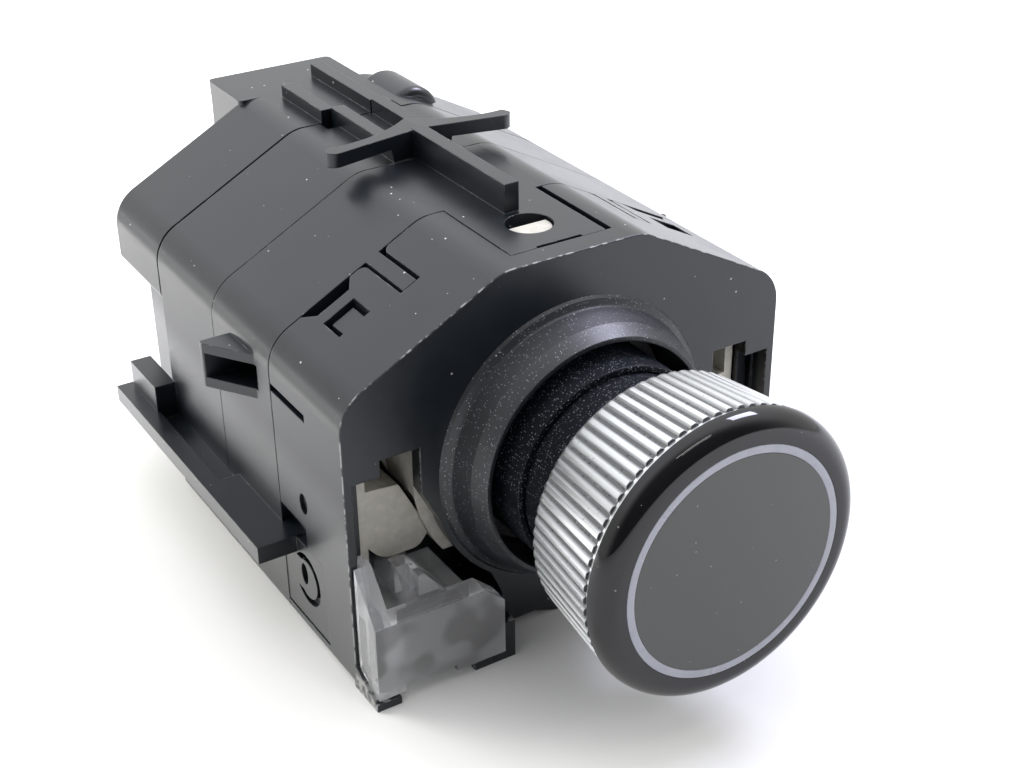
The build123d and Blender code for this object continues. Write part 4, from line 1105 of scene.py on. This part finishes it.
@dataclass
class Housing:
    """Face plate, body and rear cover."""

    nodes: tuple[str, ...] = ("front_cover", "body_housing", "rear_cover")

    def build(self, dresser: Dresser, effects: EffectLibrary) -> None:
        """Dress the three shells."""
        moulded = MouldedFinish("moulded_black").build(effects)
        for node in self.nodes:
            dresser.dress(node, moulded)


@dataclass
class LightUnit:
    """White box and the two clear guides."""

    guides: tuple[str, ...] = ("light_guide_left", "light_guide_right")

    def build(self, dresser: Dresser, effects: EffectLibrary) -> None:
        """Dress the box and the guides."""
        dresser.dress("light_box", REFLECTOR_WHITE.build(effects))
        clear = AcrylicFinish("clear_acrylic").build(effects)
        for node in self.guides:
            dresser.dress(node, clear)


@dataclass
class Mechanism:
    """Turning and springing pieces inside, with the board and its parts."""

    spring_front_y: float = 2.1
    spring_rear_y: float = 13.9
    spring_mean_r: float = 4.6
    spring_wire_r: float = 0.4
    spring_turns: int = 4
    steps_per_turn: int = 48
    wire_sides: int = 12
    push_travel: float = 1.0

    def spring(self) -> Piece:
        """Return spring, a round wire wound about the knob axis.

        Its centre line is x = r cos(a), y = start + rise a, z = -r sin(a). The wire's circle at each
        place lies across the line's direction, in the plane of the outward and the third direction.
        """
        steps = self.steps_per_turn * self.spring_turns
        turn = np.linspace(0, TURN * self.spring_turns, steps + 1)[:, None]
        start = self.spring_front_y + self.spring_wire_r
        rise = (self.spring_rear_y - self.spring_wire_r - start) / (TURN * self.spring_turns)
        flat = 0 * turn
        outward = np.hstack((np.cos(turn), flat, -np.sin(turn)))
        round_axis = np.hstack((-np.sin(turn), flat, -np.cos(turn)))
        centre = self.spring_mean_r * outward + np.hstack((flat, start + rise * turn, flat))
        onward = self.spring_mean_r * round_axis + np.array([0.0, rise, 0.0])
        third = np.cross(onward / np.linalg.norm(onward, axis=1, keepdims=True), outward)
        angle = even_turns(self.wire_sides)[:, :, None]
        circle = np.cos(angle) * outward[:, None, :] + np.sin(angle) * third[:, None, :]
        points = (centre[:, None, :] + self.spring_wire_r * circle).reshape(-1, 3)
        faces = grid_faces(len(turn), self.wire_sides, wrap_rows=False)
        faces.append(tuple(reversed(range(self.wire_sides))))
        faces.append(tuple(range(len(points) - self.wire_sides, len(points))))
        return build_mesh("coil_spring", points, faces)

    def build(self, dresser: Dresser, effects: EffectLibrary) -> None:
        """Dress every inner piece, and put a wound spring in the return spring's place."""
        steel = SPRING_STEEL.build(effects)
        table = {
            INNER_PLASTIC.build(effects): ("push_rod", "rotor", "detent_ring", "hall_sensor", "tact_plunger"),
            steel: ("detent_spring", "rotor_clip", "board_screws"),
            SINTERED_MAGNET.build(effects): ("magnet_ring",),
            TINNED_METAL.build(effects): ("connector_pins", "tact_switch"),
            BOARD_LACQUER.build(effects): ("circuit_board",),
            LAMP_WHITE.build(effects): ("leds",),
            CONNECTOR_BLACK.build(effects): ("connector_header",),
        }
        for material, nodes in table.items():
            for node in nodes:
                dresser.dress(node, material)
        spring = self.spring()
        dresser.stand_in(spring, "return_spring", steel)
        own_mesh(spring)


@dataclass(frozen=True)
class SoftLight:
    """One area light, given by its place, target, size in metres and radiance."""

    name: str
    place: Place
    target: Place
    width: float
    height: float
    radiance: float
    colour: Colour
    mirrored: bool = True

    def build(self) -> None:
        """Add the light: its power is pi * area * radiance."""
        data = bpy.data.lights.new(self.name, "AREA")
        data.shape = "RECTANGLE"
        data.size = self.width
        data.size_y = self.height
        data.energy = math.pi * self.width * self.height * self.radiance
        data.color = self.colour
        lamp = bpy.data.objects.new(self.name, data)
        lamp.location = self.place
        aim = Vector(self.target) - Vector(self.place)
        lamp.rotation_euler = aim.to_track_quat("-Z", "Y").to_euler()
        lamp.visible_camera = False
        lamp.visible_glossy = self.mirrored
        bpy.context.scene.collection.objects.link(lamp)


CEILING_PANEL = SoftLight(
    "ceiling_panel",
    place=(0.48, 0.07, 0.60),
    target=(0.0, 0.0, 0.0),
    width=0.24,
    height=0.24,
    radiance=22.0,
    colour=(0.88, 0.89, 1.14),
)
FLOOR_WASH = SoftLight(
    "floor_wash",
    place=(-0.20, 0.24, 0.15),
    target=(-0.20, 0.24, 0.0),
    width=0.16,
    height=0.16,
    radiance=20.0,
    colour=(1.0, 0.99, 0.94),
    mirrored=False,
)
FRONT_FILL = SoftLight(
    "front_fill",
    place=(0.22, -0.38, 0.20),
    target=(0.0, -0.02, -0.01),
    width=0.30,
    height=0.30,
    radiance=4.5,
    colour=(1.0, 0.99, 1.02),
    mirrored=False,
)
NEAR_TUBE = SoftLight(
    "near_tube",
    place=(0.02, -0.34, 0.72),
    target=(0.02, -0.34, 0.0),
    width=0.36,
    height=0.030,
    radiance=12.0,
    colour=(1.0, 0.98, 0.92),
)
FAR_TUBE = SoftLight(
    "far_tube",
    place=(0.05, -0.42, 0.72),
    target=(0.05, -0.42, 0.0),
    width=0.30,
    height=0.020,
    radiance=12.0,
    colour=(1.0, 0.98, 0.92),
)


@dataclass
class Studio:
    """White floor, soft light all round and the camera of the photograph, in metres."""

    lights: tuple[SoftLight, ...] = (CEILING_PANEL, FLOOR_WASH, FRONT_FILL, NEAR_TUBE, FAR_TUBE)
    floor_half: float = 4.0
    horizon: float = 1.25
    zenith: float = 2.1
    sky_heights: Span = (0.2, 0.9)
    low_tint: Colour = (1.0, 1.0, 0.98)
    high_tint: Colour = (0.98, 0.98, 1.03)
    tint_heights: Span = (0.2, 0.8)
    room_side: Place = (-0.20, -0.96, 0.20)
    room_edge: Span = (0.15, 0.70)
    room_share: float = 0.13
    backdrop: float = 1.3
    eye: Place = (-0.09470, -0.13930, 0.10227)
    forward: Place = (0.4585, 0.7409, -0.4908)
    up: Place = (0.2690, 0.4107, 0.8712)
    lens: float = 58.2
    sensor: float = 36.0
    sight: Span = (0.01, 20.0)

    def floor(self, level: float, effects: EffectLibrary) -> None:
        """Floor at the object's foot."""
        half = self.floor_half
        mesh = bpy.data.meshes.new("studio_floor")
        corners = [(-half, -half, level), (half, -half, level), (half, half, level), (-half, half, level)]
        mesh.from_pydata(corners, [], [(0, 1, 2, 3)])
        floor = bpy.data.objects.new("studio_floor", mesh)
        bpy.context.scene.collection.objects.link(floor)
        mesh.materials.append(FloorFinish("white_paper").build(effects))
        floor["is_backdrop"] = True

    def sky(self) -> None:
        """Surroundings that brighten from the horizon to the zenith, with a dark room in front.

        The camera itself sees an even white backdrop.
        """
        world = bpy.data.worlds.new("soft_surroundings")
        bpy.context.scene.world = world
        world.use_nodes = True
        world.node_tree.nodes.clear()
        w = Wiring(world.node_tree)
        direction = w.add("ShaderNodeTexCoord").outputs["Generated"]
        height = w.split(direction)[2]
        towards = w.vector("DOT_PRODUCT", direction, self.room_side)["Value"]
        room = w.ease(towards, self.room_edge, (1.0, self.room_share))
        rise = w.ease(height, self.sky_heights, (self.horizon, self.zenith))
        background = w.add("ShaderNodeBackground")
        tint = w.blend(w.ease(height, self.tint_heights), self.low_tint, self.high_tint)
        w.feed(background.inputs["Color"], tint)
        seen = w.add("ShaderNodeLightPath").outputs["Is Camera Ray"]
        w.feed(background.inputs["Strength"], w.choose(seen, w.times(rise, room), self.backdrop))
        w.feed(w.add("ShaderNodeOutputWorld").inputs["Surface"], background.outputs[0])

    def camera(self) -> None:
        """Camera placed by its solved axes."""
        ahead = Vector(self.forward).normalized()
        right = ahead.cross(Vector(self.up)).normalized()
        above = right.cross(ahead)
        data = bpy.data.cameras.new("photo_camera")
        data.lens = self.lens
        data.sensor_width = self.sensor
        data.clip_start, data.clip_end = self.sight
        camera = bpy.data.objects.new("photo_camera", data)
        turn = Matrix((right, above, -ahead)).transposed().to_4x4()
        camera.matrix_world = Matrix.Translation(Vector(self.eye)) @ turn
        bpy.context.scene.collection.objects.link(camera)
        bpy.context.scene.camera = camera

    def build(self, level: float, effects: EffectLibrary) -> None:
        """Set up everything round the object."""
        self.floor(level, effects)
        self.sky()
        for light in self.lights:
            light.build()
        self.camera()
        bpy.context.scene.view_settings.view_transform = "Standard"


def corners_of(box: tuple) -> list[list[float]]:
    """A box as plain lists of numbers."""
    return [[float(value) for value in corner] for corner in box]


def main() -> None:
    """Build the object on its frame, then the studio."""
    for old in list(bpy.data.objects):
        bpy.data.objects.remove(old)
    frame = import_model()
    cad_box = corners_of(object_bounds())
    effects = EffectLibrary()
    dresser = Dresser(frame)
    for assembly in (Housing(), Collar(), Knob(), LightUnit(), Mechanism()):
        assembly.build(dresser, effects)
        LOG.info("finished %s", type(assembly).__name__)
    Studio().build(cad_box[0][2], effects)
    bpy.context.view_layer.update()


if __name__ == "__main__":
    logging.basicConfig(level=logging.INFO, format="%(name)s: %(message)s")
    main()
